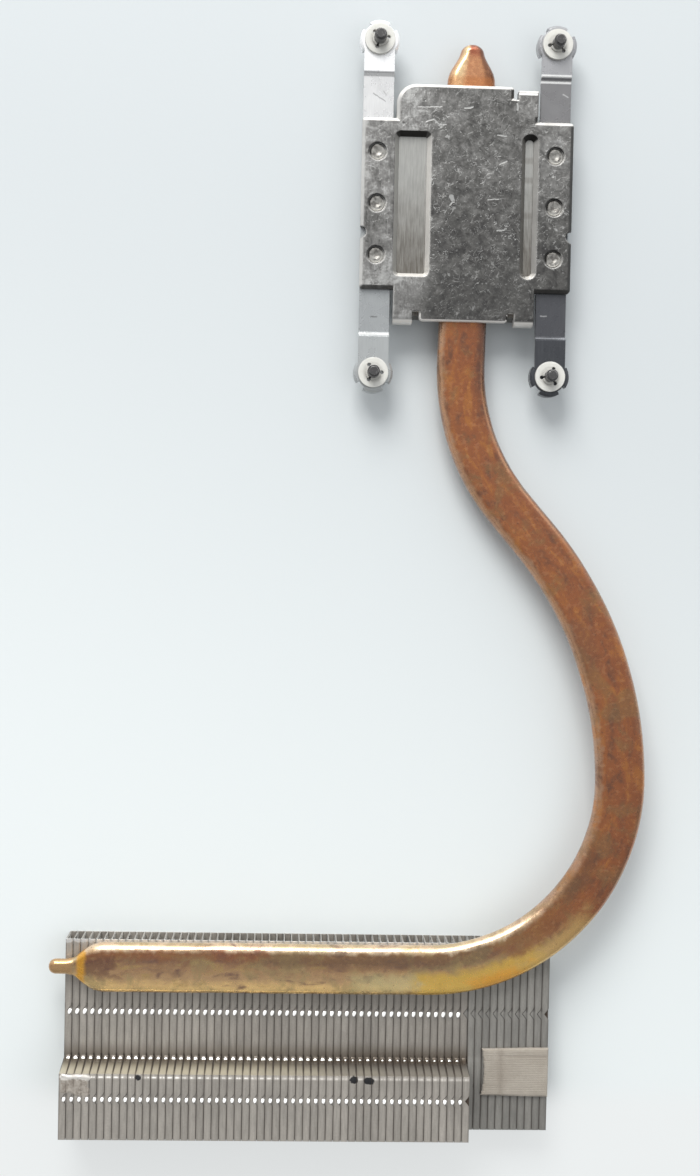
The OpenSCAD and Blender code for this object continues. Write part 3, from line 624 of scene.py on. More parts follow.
def fin_material(name, base):
    """Rolled sheet: each fin has its own tone at random, and each flange is brighter in the middle than at its fold
    and its seam, a painted shade.
    """
    g = Graph(name)
    steps = g.math("DIVIDE", g.minus(g.x, STACK_LEFT), FIN_PITCH)
    number = g.math("FLOOR", steps)
    across = g.math("FRACT", steps)
    own = g.add("ShaderNodeTexWhiteNoise", {"W": number}, noise_dimensions="1D").outputs["Value"]
    # Painted shade across each flange, darkest at the fold and at the seam, used on the flat faces only
    profile = g.ramp(across, [(0.0, 0.62), (0.09, 0.96), (0.30, 1.05), (0.62, 1.02), (0.82, 0.92), (0.93, 0.62)])
    broad = g.noise(0.09, 3.0, 0.55)
    streaks = g.noise(1.0, 4.0, 0.6, 0.0, g.stretched(3.2, 0.35, 1.0))
    grit = g.noise(4.0, 3.0, 0.6)
    light = g.times(g.span(own, 0.0, 1.0, 0.92, 1.08), g.span(broad, 0.3, 0.7, 0.92, 1.07))
    light = g.times(light, g.span(streaks, 0.25, 0.75, 0.9, 1.1))
    light = g.times(light, g.span(grit, 0.25, 0.75, 0.94, 1.06))
    on_shelf = g.times(g.span(g.y, STEP_Y, STEP_Y + 1.0), g.span(g.x, -34.0, -6.0, 0.0, 0.15))
    light = g.times(light, g.minus(1.0, on_shelf))
    beyond = g.times(g.span(g.x, TALL_RIGHT, TALL_RIGHT + 0.2), g.span(g.y, STEP_Y - 1.0, STEP_Y - 4.0, 0.0, 0.24))
    light = g.times(light, g.minus(1.0, beyond))
    flat = g.span(g.math("ABSOLUTE", g.facing_z), 0.5, 0.9)
    light = g.mix(flat, light, g.times(light, profile))
    colour = g.mix(1.0, base, light, "MULTIPLY")
    # The slope is pale on the left and dark with grime on the right, and darker towards its foot; brown dust and
    # painted shade darken the valley
    grimy = g.span(g.plus(g.x, g.times(g.minus(broad, 0.5), 30.0)), -16.0, 6.0)
    slope = g.times(g.span(g.z, SHELF_Z + 0.1, SHELF_Z + 0.6), g.window(g.y, STEP_Y - STEP_RUN, STEP_Y + 0.1, 0.05))
    slope = g.times(slope, g.span(g.z, TALL_Z - 0.02, TALL_Z - 0.1))
    upper = g.span(g.z, SHELF_Z + 1.2, TALL_Z - 0.8)
    slope_tone = g.mix(grimy, g.mix(upper, tone(120, 112, 96), tone(196, 188, 166)),
                       g.mix(upper, tone(84, 80, 76), tone(136, 131, 122)))
    colour = g.mix(g.times(slope, 0.85), colour, slope_tone)
    valley = g.times(g.span(g.y, STEP_Y + 3.4, STEP_Y + 0.2), g.span(g.z, SHELF_Z + 3.0, SHELF_Z + 0.3))
    dust = g.times(g.times(valley, g.span(grit, 0.2, 0.6, 0.7, 1.0)), g.span(grimy, 0.0, 1.0, 0.6, 0.8))
    dust = g.times(dust, g.times(g.span(g.x, TALL_RIGHT + 0.3, TALL_RIGHT), g.span(g.z, SHELF_Z - 0.6, SHELF_Z - 0.3)))
    colour = g.mix(dust, colour, tone(88, 76, 62))
    # Shadow lines beside the seams where the sheets bend: at the foot of the step and at the lock rows
    bends = g.times(g.window(g.y, STEP_Y - 0.8, STEP_Y + 0.7, 0.3), g.span(g.x, TALL_RIGHT + 0.1, TALL_RIGHT))
    bends = g.math("MAXIMUM", bends, g.times(g.window(g.y, LOCK_REAR_Y + 0.35, LOCK_REAR_Y + 1.1, 0.25), 0.6))
    bends = g.math("MAXIMUM", bends, g.times(g.window(g.y, LOCK_FRONT_Y + 0.35, LOCK_FRONT_Y + 0.9, 0.2), 0.4))
    beside = g.math("MAXIMUM", g.span(across, 0.8, 0.9), g.span(across, 0.12, 0.04))
    colour = g.mix(g.times(g.times(bends, beside), 0.85), colour, tone(46, 40, 36))
    # Rear edges of the flanges are painted bright and ragged, a painted highlight where they face the light from the
    # rear
    ragged = g.times(g.minus(g.noise(1.3, 3.0), 0.5), 1.6)
    rear = g.times(g.span(g.plus(g.y, ragged), STACK_BACK - 0.75, STACK_BACK - 0.35), g.span(g.z, 4.6, 4.9))
    colour = g.mix(g.times(rear, 0.7), colour, tone(214, 214, 212))
    # Inside, the walls are painted pale near the open rear ends, a painted light, and brown deeper in, dust and
    # painted shade
    inside = g.times(g.span(g.math("ABSOLUTE", g.facing_x), 0.5, 0.8),
                     g.window(g.x, STACK_LEFT + 0.1, -STACK_LEFT, 0.05))
    wall_painted_light_and_dust = g.mix(g.span(g.y, STACK_BACK - 7.0, STACK_BACK - 2.5), tone(78, 68, 58), tone(236, 234, 230))
    wall_painted_light_and_dust = g.mix(g.span(g.noise(0.9, 2.0), 0.56, 0.64), wall_painted_light_and_dust, tone(52, 48, 44))
    colour = g.mix(inside, colour, wall_painted_light_and_dust)
    # Broad bright rim of the step's crest, a painted highlight strongest on the left, and a few black spots of dirt
    crest = g.times(g.window(g.y, STEP_Y - 1.5, STEP_Y - 1.28, 0.08), g.span(g.z, TALL_Z - 0.3, TALL_Z - 0.1))
    crest = g.times(crest, g.times(g.window(across, 0.14, 0.74, 0.14), g.span(streaks, 0.38, 0.54)))
    colour = g.mix(g.times(crest, g.span(g.x, -26.0, 0.0, 0.95, 0.3)), colour, tone(238, 236, 230))
    rough_edge = g.vector("SCALE", g.add("ShaderNodeTexNoise", {"Vector": g.place, "Scale": 2.4}).outputs["Color"],
                          scale=0.4)
    spots = 0.0
    for x, y, width, run in ((-33.61, -81.4, 0.86, 0.1), (1.5, -81.5, 1.25, 0.12), (3.95, -81.65, 1.2, 0.5)):
        spot = g.stroke(x + 0.2 - run/2, y + 0.2, x + 0.2 + run/2, y + 0.16, width, 0.1, rough_edge)
        spots = g.math("MAXIMUM", spots, spot)
    spots = g.times(spots, g.span(g.z, TALL_Z - 1.5, TALL_Z - 1.0))
    colour = g.mix(spots, colour, tone(24, 24, 26))
    tip = g.times(g.span(across, 0.0, 0.2), g.span(across, 0.96, 0.72))
    roll = g.times(g.times(g.span(g.y, STEP_Y - 1.75, STEP_Y - STEP_RUN),
                           g.span(g.x, TALL_RIGHT + 0.1, TALL_RIGHT)), -3.2)
    height = g.plus(g.plus(tip, g.times(streaks, 0.25)), roll)
    normal = g.bump(height, 0.09, 0.8, g.rounded(0.06))
    gloss = g.times(g.minus(1.0, spots), 0.5)
    rough = g.plus(g.span(streaks, 0.3, 0.7, 0.36, 0.5), g.times(spots, 0.45))
    return g.surface(colour, gloss, rough, normal)


def seam_x(i):
    """Middle of the seam on the right of fin i."""
    return STACK_LEFT + (i + 1)*FIN_PITCH - SEAM/2


def make_glints():
    """Bent tips of the lock tongues and of the relief windows in rows, coloured near white as a painted highlight."""
    dice = random.Random(11)
    points, faces = [], []

    def lens(x, y, z, half_w, half_l, tilt, slant):
        sides, rings = 12, 3
        first = len(points)
        points.append((x, y, z + 0.05))
        for r in range(1, rings + 1):
            for j in range(sides):
                a = 2*math.pi*j/sides
                u, v = half_w*math.cos(a)*r/rings, half_l*math.sin(a)*r/rings
                crown = 0.05*(1 - (r/rings)**2)
                points.append((x + u + slant*v, y + v, z + crown - math.tan(tilt)*v))
        for j in range(sides):
            faces.append((first, first + 1 + j, first + 1 + (j + 1) % sides))
        for r in range(rings - 1):
            for j in range(sides):
                a, b = first + 1 + r*sides + j, first + 1 + r*sides + (j + 1) % sides
                faces.append((a, a + sides, b + sides, b))

    tilt = math.radians(24)
    steep = math.radians(30)
    grimy_from = 36
    for i in range(TALL_COUNT - 1):
        seam = seam_x(i)
        grimy = dice.uniform(0.55, 0.85) if i > grimy_from else dice.uniform(0.9, 1.15)
        jitter = dice.uniform(-0.03, 0.03)
        lens(seam - 0.36 + jitter, LOCK_REAR_Y - 0.12, SHELF_Z + 0.1, 0.3, 0.48, tilt, 0.22)
        lens(seam - 0.36 + jitter, LOCK_FRONT_Y - 0.05, TALL_Z + 0.08, 0.27, 0.4, tilt, 0.1)
        lens(seam - 0.46 + 2*jitter, STEP_Y - 0.02, SHELF_Z + 0.66, 0.29*grimy, 0.3*grimy, steep, 0.0)
    return make_mesh("lock_tips", points, faces)


def glint_material():
    g = Graph("fin_painted_highlight")
    # Near-white painted highlight, greyer in the step row on the right
    dull = g.times(g.span(g.x, -4.0, 8.0), g.window(g.y, STEP_Y - 0.6, STEP_Y + 0.6, 0.1))
    colour = g.mix(g.times(dull, 0.35), tone(250, 250, 248), tone(176, 174, 170))
    return g.surface(colour, 0.3, 0.3)


def make_relief_tabs():
    """Tongue of each tall fin that curls up into the relief window at the foot of the step."""
    points, faces = [], []
    rows, columns = 9, 7
    left, right = 0.36, FIN_FLANGE - 0.03
    low_y, bend_y, top_y = STEP_Y + 0.42, STEP_Y - 0.01, STEP_Y - 0.24
    low_z, top_z = SHELF_Z + 0.012, SHELF_Z + 1.52
    sheet = 0.08
    for i in range(TALL_COUNT):
        x0 = STACK_LEFT + i*FIN_PITCH
        for layer in (0.0, -sheet):
            for r in range(rows):
                t = r/(rows - 1)
                y = (1 - t)**2*low_y + 2*t*(1 - t)*bend_y + t*t*top_y
                z = (1 - t)**2*low_z + 2*t*(1 - t)*low_z + t*t*top_z
                for c in range(columns):
                    s = c/(columns - 1)
                    swell = 0.07*math.sin(math.pi*s)*math.sin(math.pi*t)
                    points.append((x0 + mix(left, right, s), y + swell + layer, z + swell + layer))
        size = rows*columns
        first = len(points) - 2*size
        for r in range(rows - 1):
            for c in range(columns - 1):
                a = first + r*columns + c
                faces.append((a, a + columns, a + columns + 1, a + 1))
                faces.append((a + size + 1, a + size + columns + 1, a + size + columns, a + size))
        rim = [c for c in range(columns)] + [r*columns + columns - 1 for r in range(1, rows)]
        rim += [(rows - 1)*columns + c for c in range(columns - 2, -1, -1)]
        rim += [r*columns for r in range(rows - 2, 0, -1)]
        for k, a in enumerate(rim):
            b = rim[(k + 1) % len(rim)]
            faces.append((first + b, first + a, first + a + size, first + b + size))
    return make_mesh("relief_tabs", points, faces)


def make_seam_dust():
    """Brown dust packed into the seams between the fins, a little below their upper faces."""
    points, faces = [], []
    depth, half_w, height = 0.07, SEAM/2 + 0.03, 0.08
    top_y = STEP_Y - STEP_RUN

    def ribbon(x, profile):
        first = len(points)
        for y, z in profile:
            points.extend([(x - half_w, y, z), (x + half_w, y, z), (x + half_w, y, z - height),
                           (x - half_w, y, z - height)])
        for k in range(len(profile) - 1):
            for j in range(4):
                a, b = first + 4*k + j, first + 4*k + (j + 1) % 4
                faces.append((a, b, b + 4, a + 4))
        faces.append((first + 3, first + 2, first + 1, first))
        end = first + 4*(len(profile) - 1)
        faces.append((end, end + 1, end + 2, end + 3))

    shelf = SHELF_Z - depth
    for i in range(TALL_COUNT + SHORT_COUNT - 1):
        if i < TALL_COUNT - 1:
            profile = [(STACK_FRONT + 0.2, TALL_Z - depth), (top_y, TALL_Z - depth),
                       (STEP_Y - depth, SHELF_Z + 0.1), (STEP_Y + 0.2, shelf), (STACK_BACK - 0.9, shelf)]
        elif i == TALL_COUNT - 1:
            profile = [(STEP_Y + 0.2, shelf), (STACK_BACK - 0.9, shelf)]
        else:
            profile = [(STACK_FRONT + 0.2, shelf), (STACK_BACK - 0.9, shelf)]
        ribbon(seam_x(i), profile)
    # A dark brown block fills the last notch of each lock row, which has no tongue beside it
    short_right = TALL_RIGHT + SHORT_COUNT*FIN_PITCH
    for right, y, z in ((short_right, LOCK_REAR_Y, SHELF_Z - 0.3), (TALL_RIGHT, LOCK_REAR_Y, SHELF_Z - 0.3),
                        (TALL_RIGHT, LOCK_FRONT_Y, TALL_Z - 0.3)):
        first = len(points)
        x_low, x_high = right - SEAM - 0.9, right - SEAM - 0.04
        points.extend([(x, y + side*0.85, level) for level in (z, z - height)
                       for x, side in ((x_low, -1), (x_high, -1), (x_high, 1), (x_low, 1))])
        for corner in ((0, 1, 2, 3), (7, 6, 5, 4), (0, 4, 5, 1), (1, 5, 6, 2), (2, 6, 7, 3), (3, 7, 4, 0)):
            faces.append(tuple(first + k for k in corner))
    return make_mesh("seam_dust", points, faces, smooth=False)


def dust_material():
    g = Graph("dust_brown")
    cloud = g.noise(2.0, 3.0, 0.6)
    colour = g.mix(cloud, tone(44, 37, 33), tone(86, 74, 64))
    return g.surface(colour, 0.0, 0.9, g.bump(cloud, 0.05, 0.5))


# Contact plate and its saddle


def plate_material():
    """Dull plated metal, mottled and scratched all over; painted light makes it lighter towards the rear and lightest
    on its left wing, and painted highlights and shade lie along its edges, bends and window walls.
    """
    g = Graph("plate_metal")
    # Painted light: lighter towards the rear and on the left wing, and at the rear of the right edge and the front of
    # the left wing
    painted_light_lean = g.plus(g.times(g.minus(g.y, BLOCK.y), 0.0062), g.span(g.x, 12.5, 7.0, 0.0, 0.24))
    painted_light_lean = g.plus(painted_light_lean, g.times(g.span(g.x, 25.0, 28.0), g.span(g.y, 52.0, 72.0, 0.0, 0.1)))
    painted_light_lean = g.plus(painted_light_lean, g.times(g.span(g.x, 12.0, 7.0), g.span(g.y, 57.0, 49.0, 0.0, 0.22)))
    broad = g.noise(0.14, 3.0, 0.5)
    blotch = g.noise(0.3, 4.0, 0.6, 0.9)
    mottle = g.noise(0.62, 4.0, 0.6, 0.9)
    grain = g.noise(2.4, 3.0, 0.6)
    brushed = g.noise(1.0, 3.0, 0.6, 0.0, g.stretched(5.0, 0.4, 1.0))
    value = g.plus(g.times(g.minus(broad, 0.5), 0.3), g.times(g.minus(blotch, 0.5), 0.7))
    value = g.plus(value, g.times(g.minus(mottle, 0.5), g.span(g.y, 44.0, 60.0, 0.5, 0.8)))
    value = g.plus(value, g.times(g.minus(grain, 0.5), 0.36))
    value = g.plus(value, painted_light_lean)
    brush_share = g.math("MAXIMUM", g.times(g.span(g.y, 72.0, 79.0), 0.3), g.times(g.span(g.x, 10.0, 7.5), 0.3))
    value = g.plus(value, g.times(g.minus(brushed, 0.5), brush_share))
    colour = g.ramp(g.plus(value, 0.5), [(0.0, tone(38, 37, 37)), (0.3, tone(66, 65, 64)), (0.5, tone(87, 86, 84)),
                                         (0.65, tone(105, 104, 102)), (0.8, tone(126, 125, 123)),
                                         (1.0, tone(164, 164, 162))])
    # Short curled scratches: thin level lines of a twisted noise, broken up by a second one
    marks = 0.0
    for scale, width, gate in ((0.42, 0.02, 0.55), (0.7, 0.03, 0.58), (1.15, 0.04, 0.61)):
        field = g.noise(scale, 1.0, 0.4, 1.8, g.stretched(1.0, 1.0, 0.0))
        line = g.span(g.math("ABSOLUTE", g.minus(field, 0.5)), width, width*0.25)
        breaks = g.span(g.noise(scale*1.3, 2.0, 0.5, 0.0, g.stretched(1.0, 1.0, 3.0)), gate - 0.05, gate + 0.05)
        marks = g.math("MAXIMUM", marks, g.times(line, breaks))
    top = g.span(g.facing_z, 0.8, 0.95)
    marks = g.times(g.times(marks, top), g.span(broad, 0.35, 0.65, 0.45, 0.9))
    marks = g.times(marks, g.span(g.y, 44.0, 58.0, 0.55, 1.0))
    wobble = g.vector("SCALE", g.add("ShaderNodeTexNoise", {"Vector": g.place, "Scale": 0.8}).outputs["Color"],
                      scale=0.5)
    for x0, y0, x1, y1, width in ((8.9, 77.6, 12.7, 77.7, 0.16), (16.5, 77.6, 17.7, 77.7, 0.24),
                                  (25.1, 77.6, 25.1, 78.6, 0.3), (10.2, 75.2, 11.4, 75.6, 0.2),
                                  (11.4, 75.6, 12.4, 74.7, 0.2), (12.4, 74.7, 13.5, 74.8, 0.2),
                                  (14.6, 63.2, 14.9, 62.5, 0.7), (14.9, 62.5, 14.3, 61.7, 0.25),
                                  (20.6, 62.8, 22.4, 62.9, 0.16), (22.3, 57.8, 23.4, 57.9, 0.24),
                                  (22.0, 73.4, 23.4, 73.3, 0.2), (22.4, 68.6, 23.6, 69.2, 0.18)):
        marks = g.math("MAXIMUM", marks, g.stroke(x0 + 0.25, y0 + 0.25, x1 + 0.25, y1 + 0.25, width, 0.07, wobble))
    colour = g.mix(g.times(marks, 0.72), colour, tone(180, 180, 178))
    pits = g.times(g.span(g.noise(1.9, 2.0, 0.5), 0.34, 0.26), top)
    colour = g.mix(g.times(pits, 0.6), colour, tone(50, 48, 46))
    # Rolled edges are painted bright where they face the rear or the left and painted dark where they face the front:
    # painted highlight and painted shade
    rim = g.add("ShaderNodeSeparateXYZ", {0: g.rounded(0.45)})
    near_edge = g.times(g.span(rim.outputs[2], 0.97, 0.82), g.span(g.z, PLATE_TOP - 1.3, PLATE_TOP - 1.0))
    lit = g.span(g.minus(rim.outputs[1], g.times(rim.outputs[0], 0.5)), -0.3, 0.3)
    colour = g.mix(g.times(near_edge, 0.75), colour, g.mix(lit, tone(52, 50, 48), tone(222, 220, 216)))
    # Painted highlight: faces that turn to the rear, the front tabs' fronts and the windows' right walls are painted
    # near white
    bent = g.math("MAXIMUM", g.span(g.facing_y, 0.1, 0.4),
                  g.times(g.span(g.facing_y, -0.1, -0.4), g.span(g.y, 46.5, 45.5)))
    inner = g.times(g.window(g.x, BLOCK.x - 8.5, BLOCK.x + 9.2, 0.2), g.span(g.y, 77.0, 76.0))
    bent = g.math("MAXIMUM", bent, g.times(g.span(g.facing_x, -0.1, -0.4), inner))
    bent = g.times(g.span(g.facing_z, 0.97, 0.8), bent)
    colour = g.mix(g.times(bent, 0.9), colour, tone(242, 239, 234))
    # Painted light: the windows' left walls are painted pale to lift their shade, palest in the left window
    left_wall_painted_light = g.times(g.times(g.span(g.facing_x, 0.1, 0.4), g.span(g.facing_z, 0.97, 0.8)),
                        g.times(g.window(g.x, 4.8, 27.6, 0.1), g.window(g.y, 50.2, 73.3, 0.3)))
    colour = g.mix(g.times(left_wall_painted_light, 0.9), colour,
                   g.mix(g.span(g.x, 15.0, 20.0), tone(180, 179, 175), tone(116, 114, 110)))
    # Painted shade: the windows' rear walls, which face the front, are painted nearly black
    slot_end_painted_shade = g.times(g.span(g.facing_y, -0.2, -0.5), g.span(g.y, 60.0, 62.0))
    colour = g.mix(g.times(slot_end_painted_shade, 0.9), colour, tone(30, 29, 28))
    # The rear tab starts to turn down at a painted highlight line, with a grey band beyond it towards the rear
    on_tab = g.times(g.window(g.x, 25.0, 28.45, 0.1), top)
    colour = g.mix(g.times(g.times(on_tab, g.span(g.y, 80.25, 80.4)), 0.6), colour, tone(150, 149, 147))
    colour = g.mix(g.times(g.times(on_tab, g.window(g.y, 79.98, 80.28, 0.08)), 0.95), colour, tone(252, 251, 248))
    rough = g.span(mottle, 0.3, 0.7, 0.34, 0.5)
    height = g.plus(g.times(grain, 0.3), g.times(mottle, 0.9))
    normal = g.bump(g.minus(height, g.times(marks, 0.6)), 0.06, 0.6, g.rounded(0.2))
    return g.surface(colour, 0.6, rough, normal)


def saddle_material():
    """Brushed block: pale at the rear of the left window, brownish at its front, stain bands in the right one."""
    g = Graph("saddle_aluminium")
    brushed = g.noise(1.0, 4.0, 0.65, 0.0, g.stretched(4.0, 0.3, 1.0))
    cloud = g.noise(0.35, 3.0, 0.5)
    fade = g.span(g.plus(g.y, g.times(g.minus(cloud, 0.5), 9.0)), 48.0, 70.0)
    colour = g.mix(fade, tone(84, 78, 70), tone(150, 150, 147))
    right = g.span(g.x, 19.0, 21.0)
    for y in (69.6, 66.4, 60.6, 54.9):
        colour = g.mix(g.times(g.times(right, g.window(g.y, y - 0.5, y + 0.5, 0.25)), 0.4), colour, tone(84, 78, 70))
    colour = g.mix(g.span(brushed, 0.3, 0.75, 0.0, 0.35), colour, tone(186, 185, 180))
    normal = g.bump(brushed, 0.03, 0.5, g.rounded(0.1))
    return g.surface(colour, 0.6, 0.42, normal)


# Springs, rivets, screws and washers


def spring_material():
    """Rolled strip; each arm is bent a little at its ends, and strip and eyes are painted their own shades, painted
    reflections of the light that each tilted arm catches.
    """
    g = Graph("spring_steel")
    left = g.span(g.x, BLOCK.x + 1, BLOCK.x - 1)
    rear = g.span(g.y, BLOCK.y - 4, BLOCK.y + 4)
    rear_eye = g.span(g.y, 82.9, 83.4)
    front_eye = g.span(g.y, 40.8, 40.3)
    # Painted reflections: the rear left arm and eye brightest, the front right darkest
    rear_row = g.mix(left, g.mix(rear_eye, tone(130, 129, 130), tone(170, 170, 172)),
                     g.mix(rear_eye, tone(216, 216, 216), tone(254, 254, 254)))
    front_row = g.mix(left, g.mix(front_eye, tone(82, 83, 87), tone(68, 70, 74)),
                      g.mix(front_eye, tone(168, 171, 172), tone(178, 181, 181)))
    colour = g.mix(rear, front_row, rear_row)
    brushed = g.noise(1.0, 4.0, 0.6, 0.0, g.stretched(6.0, 0.35, 1.0))
    cloud = g.noise(0.4, 3.0, 0.55)
    colour = g.mix(g.span(brushed, 0.4, 0.75, 0.0, 0.14), colour, tone(118, 119, 122))
    # Folds, with painted light: two pale painted highlight bands with a dark line between on the right rear arm, a
    # dark painted shade line on the left one, pale painted highlight bands in front
    right = g.minus(1.0, left)
    for y, half, side, shade, share in ((83.42, 0.2, right, tone(244, 244, 242), 0.9),
                                        (82.54, 0.2, right, tone(238, 238, 236), 0.85),
                                        (83.03, 0.08, right, tone(84, 84, 86), 0.6),
                                        (83.16, 0.07, left, tone(120, 120, 122), 0.7),
                                        (40.56, 0.2, left, tone(246, 246, 244), 0.85),
                                        (40.52, 0.12, right, tone(168, 170, 174), 0.7)):
        band = g.times(g.window(g.y, y - half, y + half, 0.09), side)
        colour = g.mix(g.times(band, share), colour, shade)
    wobble = g.vector("SCALE", g.add("ShaderNodeTexNoise", {"Vector": g.place, "Scale": 1.3}).outputs["Color"],
                      scale=0.3)
    for x0, y0, x1, y1, width, shade in ((1.5, 79.9, 3.5, 78.6, 0.16, 136), (3.2, 80.3, 3.7, 79.6, 0.12, 160),
                                         (1.9, 43.4, 2.9, 43.4, 0.22, 112),
                                         (29.9, 44.2, 30.9, 44.2, 0.2, 170), (32.8, 80.6, 33.6, 80.2, 0.18, 196)):
        mark = g.stroke(x0 + 0.15, y0 + 0.15, x1 + 0.15, y1 + 0.15, width, 0.06, wobble)
        colour = g.mix(g.times(mark, 0.85), colour, tone(shade, shade, shade))
    normal = g.bump(brushed, 0.02, 0.3, g.rounded(0.12))
    return g.surface(colour, 0.55, g.span(cloud, 0.3, 0.7, 0.24, 0.34), normal)


def rivet_material():
    """Worn rivet heads: their rims carry painted shade to the upper left and a painted highlight in front."""
    g = Graph("rivet_metal")
    wear = g.noise(1.6, 4.0, 0.6)
    colour = g.mix(g.span(wear, 0.35, 0.65), tone(98, 95, 91), tone(158, 156, 151))
    rim = g.add("ShaderNodeSeparateXYZ", {0: g.rounded(0.3)})
    edge = g.span(rim.outputs[2], 0.985, 0.85)
    lit = g.span(g.minus(g.times(rim.outputs[0], 0.5), rim.outputs[1]), -0.2, 0.25)
    colour = g.mix(g.times(edge, 0.8), colour, g.mix(lit, tone(48, 46, 44), tone(222, 221, 217)))
    return g.surface(colour, 0.6, 0.36, g.bump(wear, 0.08, 0.6, g.rounded(0.14)))


def screw_material():
    """Blackened steel, rubbed bright along the thread's crests; the rims at the point are worn and painted brightest
    where they face the rear and the right, a painted highlight.
    """
    g = Graph("screw_black")
    thread_pitch = 0.4
    turn = g.math("ARCTAN2", g.math("SINE", g.y), g.math("SINE", g.x))
    crest = g.math("SINE", g.plus(g.times(g.z, 2*math.pi/thread_pitch), turn))
    upright = g.span(g.facing_z, 0.5, 0.2)
    rubbed = g.times(g.times(g.span(crest, 0.5, 1.0), upright), g.noise(2.0, 2.0))
    colour = g.mix(rubbed, tone(78, 77, 77), tone(176, 176, 174))
    colour = g.mix(g.times(g.span(g.noise(2.4, 3.0), 0.56, 0.66), 0.5), colour, tone(134, 133, 132))
    # Rims at the point: wear, with a painted highlight where they face the rear and the right
    rim = g.add("ShaderNodeSeparateXYZ", {0: g.rounded(0.14)})
    wear_and_highlight = g.times(g.span(rim.outputs[2], 0.97, 0.7), g.span(g.facing_z, 0.6, 0.9))
    wear_and_highlight = g.times(wear_and_highlight, g.span(g.plus(rim.outputs[1], g.times(rim.outputs[0], 0.6)), 0.0, 0.4, 0.25, 0.9))
    colour = g.mix(wear_and_highlight, colour, tone(226, 225, 222))
    height = g.times(crest, upright)
    return g.surface(colour, 0.45, 0.3, g.bump(height, 0.05, 0.9, g.rounded(0.08)))


def washer_material():
    """Milky nylon, greyer where its collar grips the screw and along its thin rim."""
    g = Graph("washer_nylon")
    cloud = g.noise(0.8, 3.0)
    off_x = g.minus(g.math("ABSOLUTE", g.minus(g.x, BLOCK.x)), SCREW_DX/2)
    off_y = g.minus(g.math("ABSOLUTE", g.minus(g.y, BLOCK.y)), SCREW_DY/2)
    away = g.math("SQRT", g.plus(g.times(off_x, off_x), g.times(off_y, off_y)))
    colour = g.mix(cloud, tone(200, 199, 193), tone(219, 218, 212))
    colour = g.mix(g.times(g.span(away, 1.9, 1.4), 0.4), colour, tone(150, 148, 142))
    rim = g.add("ShaderNodeSeparateXYZ", {0: g.rounded(0.2)})
    colour = g.mix(g.times(g.span(rim.outputs[2], 0.98, 0.75), 0.5), colour, tone(150, 148, 143))
    return g.surface(colour, 0.0, 0.36, g.bump(cloud, 0.05, 0.3, g.rounded(0.12)), subsurface_weight=0.35,
                     subsurface_scale=0.0012, subsurface_radius=(1.0, 0.96, 0.92))


# Foam pad

PAD_NX = 150
PAD_NY = 108
PAD_THREAD = 0.3


def make_pad():
    """Thin foam pad under woven cloth: crowned, with one bowed end, soft edges and real threads."""
    low, high = box_mm("foam_pad")
    size = high - low
    dice = random.Random(5)
    phases = [dice.uniform(0, 6.28) for _ in range(6)]
    points, faces = [], []

    def upper(u, v):
        x = low.x + size.x*u
        bow = 0.42*(1 - (2*v - 1)**2)*(1 - u)**3
        fray = 0.03*math.sin(38*v + phases[0]) + 0.02*math.sin(91*v + phases[1])
        x += bow + fray*(1 - u)**8 - 0.04*u**8
        y = low.y + size.y*v
        y += 0.10*math.sin(3.1*u + phases[2])*((2*v - 1)**9) + 0.012*math.sin(70*u + phases[3])*abs(2*v - 1)**12
        edge = min(u*size.x, (1 - u)*size.x, v*size.y, (1 - v)*size.y)
        rim = 1 - math.exp(-edge/0.16)
        z = size.z*(0.55 + 0.37*rim)
        z += 0.009*math.sin(2*math.pi*x/PAD_THREAD)*math.sin(2*math.pi*y/PAD_THREAD)
        z += 0.008*math.sin(2*math.pi*y/PAD_THREAD)
        px, py = x - low.x, y - low.y
        ridge = math.exp(-((px - 3.2)/0.26)**2)
        z -= 0.06*ridge + 0.03*math.exp(-((py - 6.7)/0.2)**2)*(1 if px > 3.2 else 0)
        z += 0.02*math.sin(1.7*px + phases[4])*math.sin(1.3*py + phases[5])
        return x, y, low.z + min(z, size.z)

    for i in range(PAD_NX + 1):
        for j in range(PAD_NY + 1):
            points.append(upper(i/PAD_NX, j/PAD_NY))
    row = PAD_NY + 1
    for i in range(PAD_NX):
        for j in range(PAD_NY):
            a = i*row + j
            faces.append((a, a + row, a + row + 1, a + 1))
    rim = [i*row for i in range(PAD_NX + 1)] + [PAD_NX*row + j for j in range(1, row)]
    rim += [i*row + PAD_NY for i in range(PAD_NX - 1, -1, -1)] + [j for j in range(PAD_NY - 1, 0, -1)]
    base = len(points)
    for k in rim:
        x, y, _ = points[k]
        points.append((x, y, low.z + 0.01))
    n = len(rim)
    for k in range(n):
        faces.append((rim[k], base + k, base + (k + 1) % n, rim[(k + 1) % n]))
    faces.append(tuple(base + k for k in range(n - 1, -1, -1)))
    return make_mesh("foam_pad_cloth", points, faces)


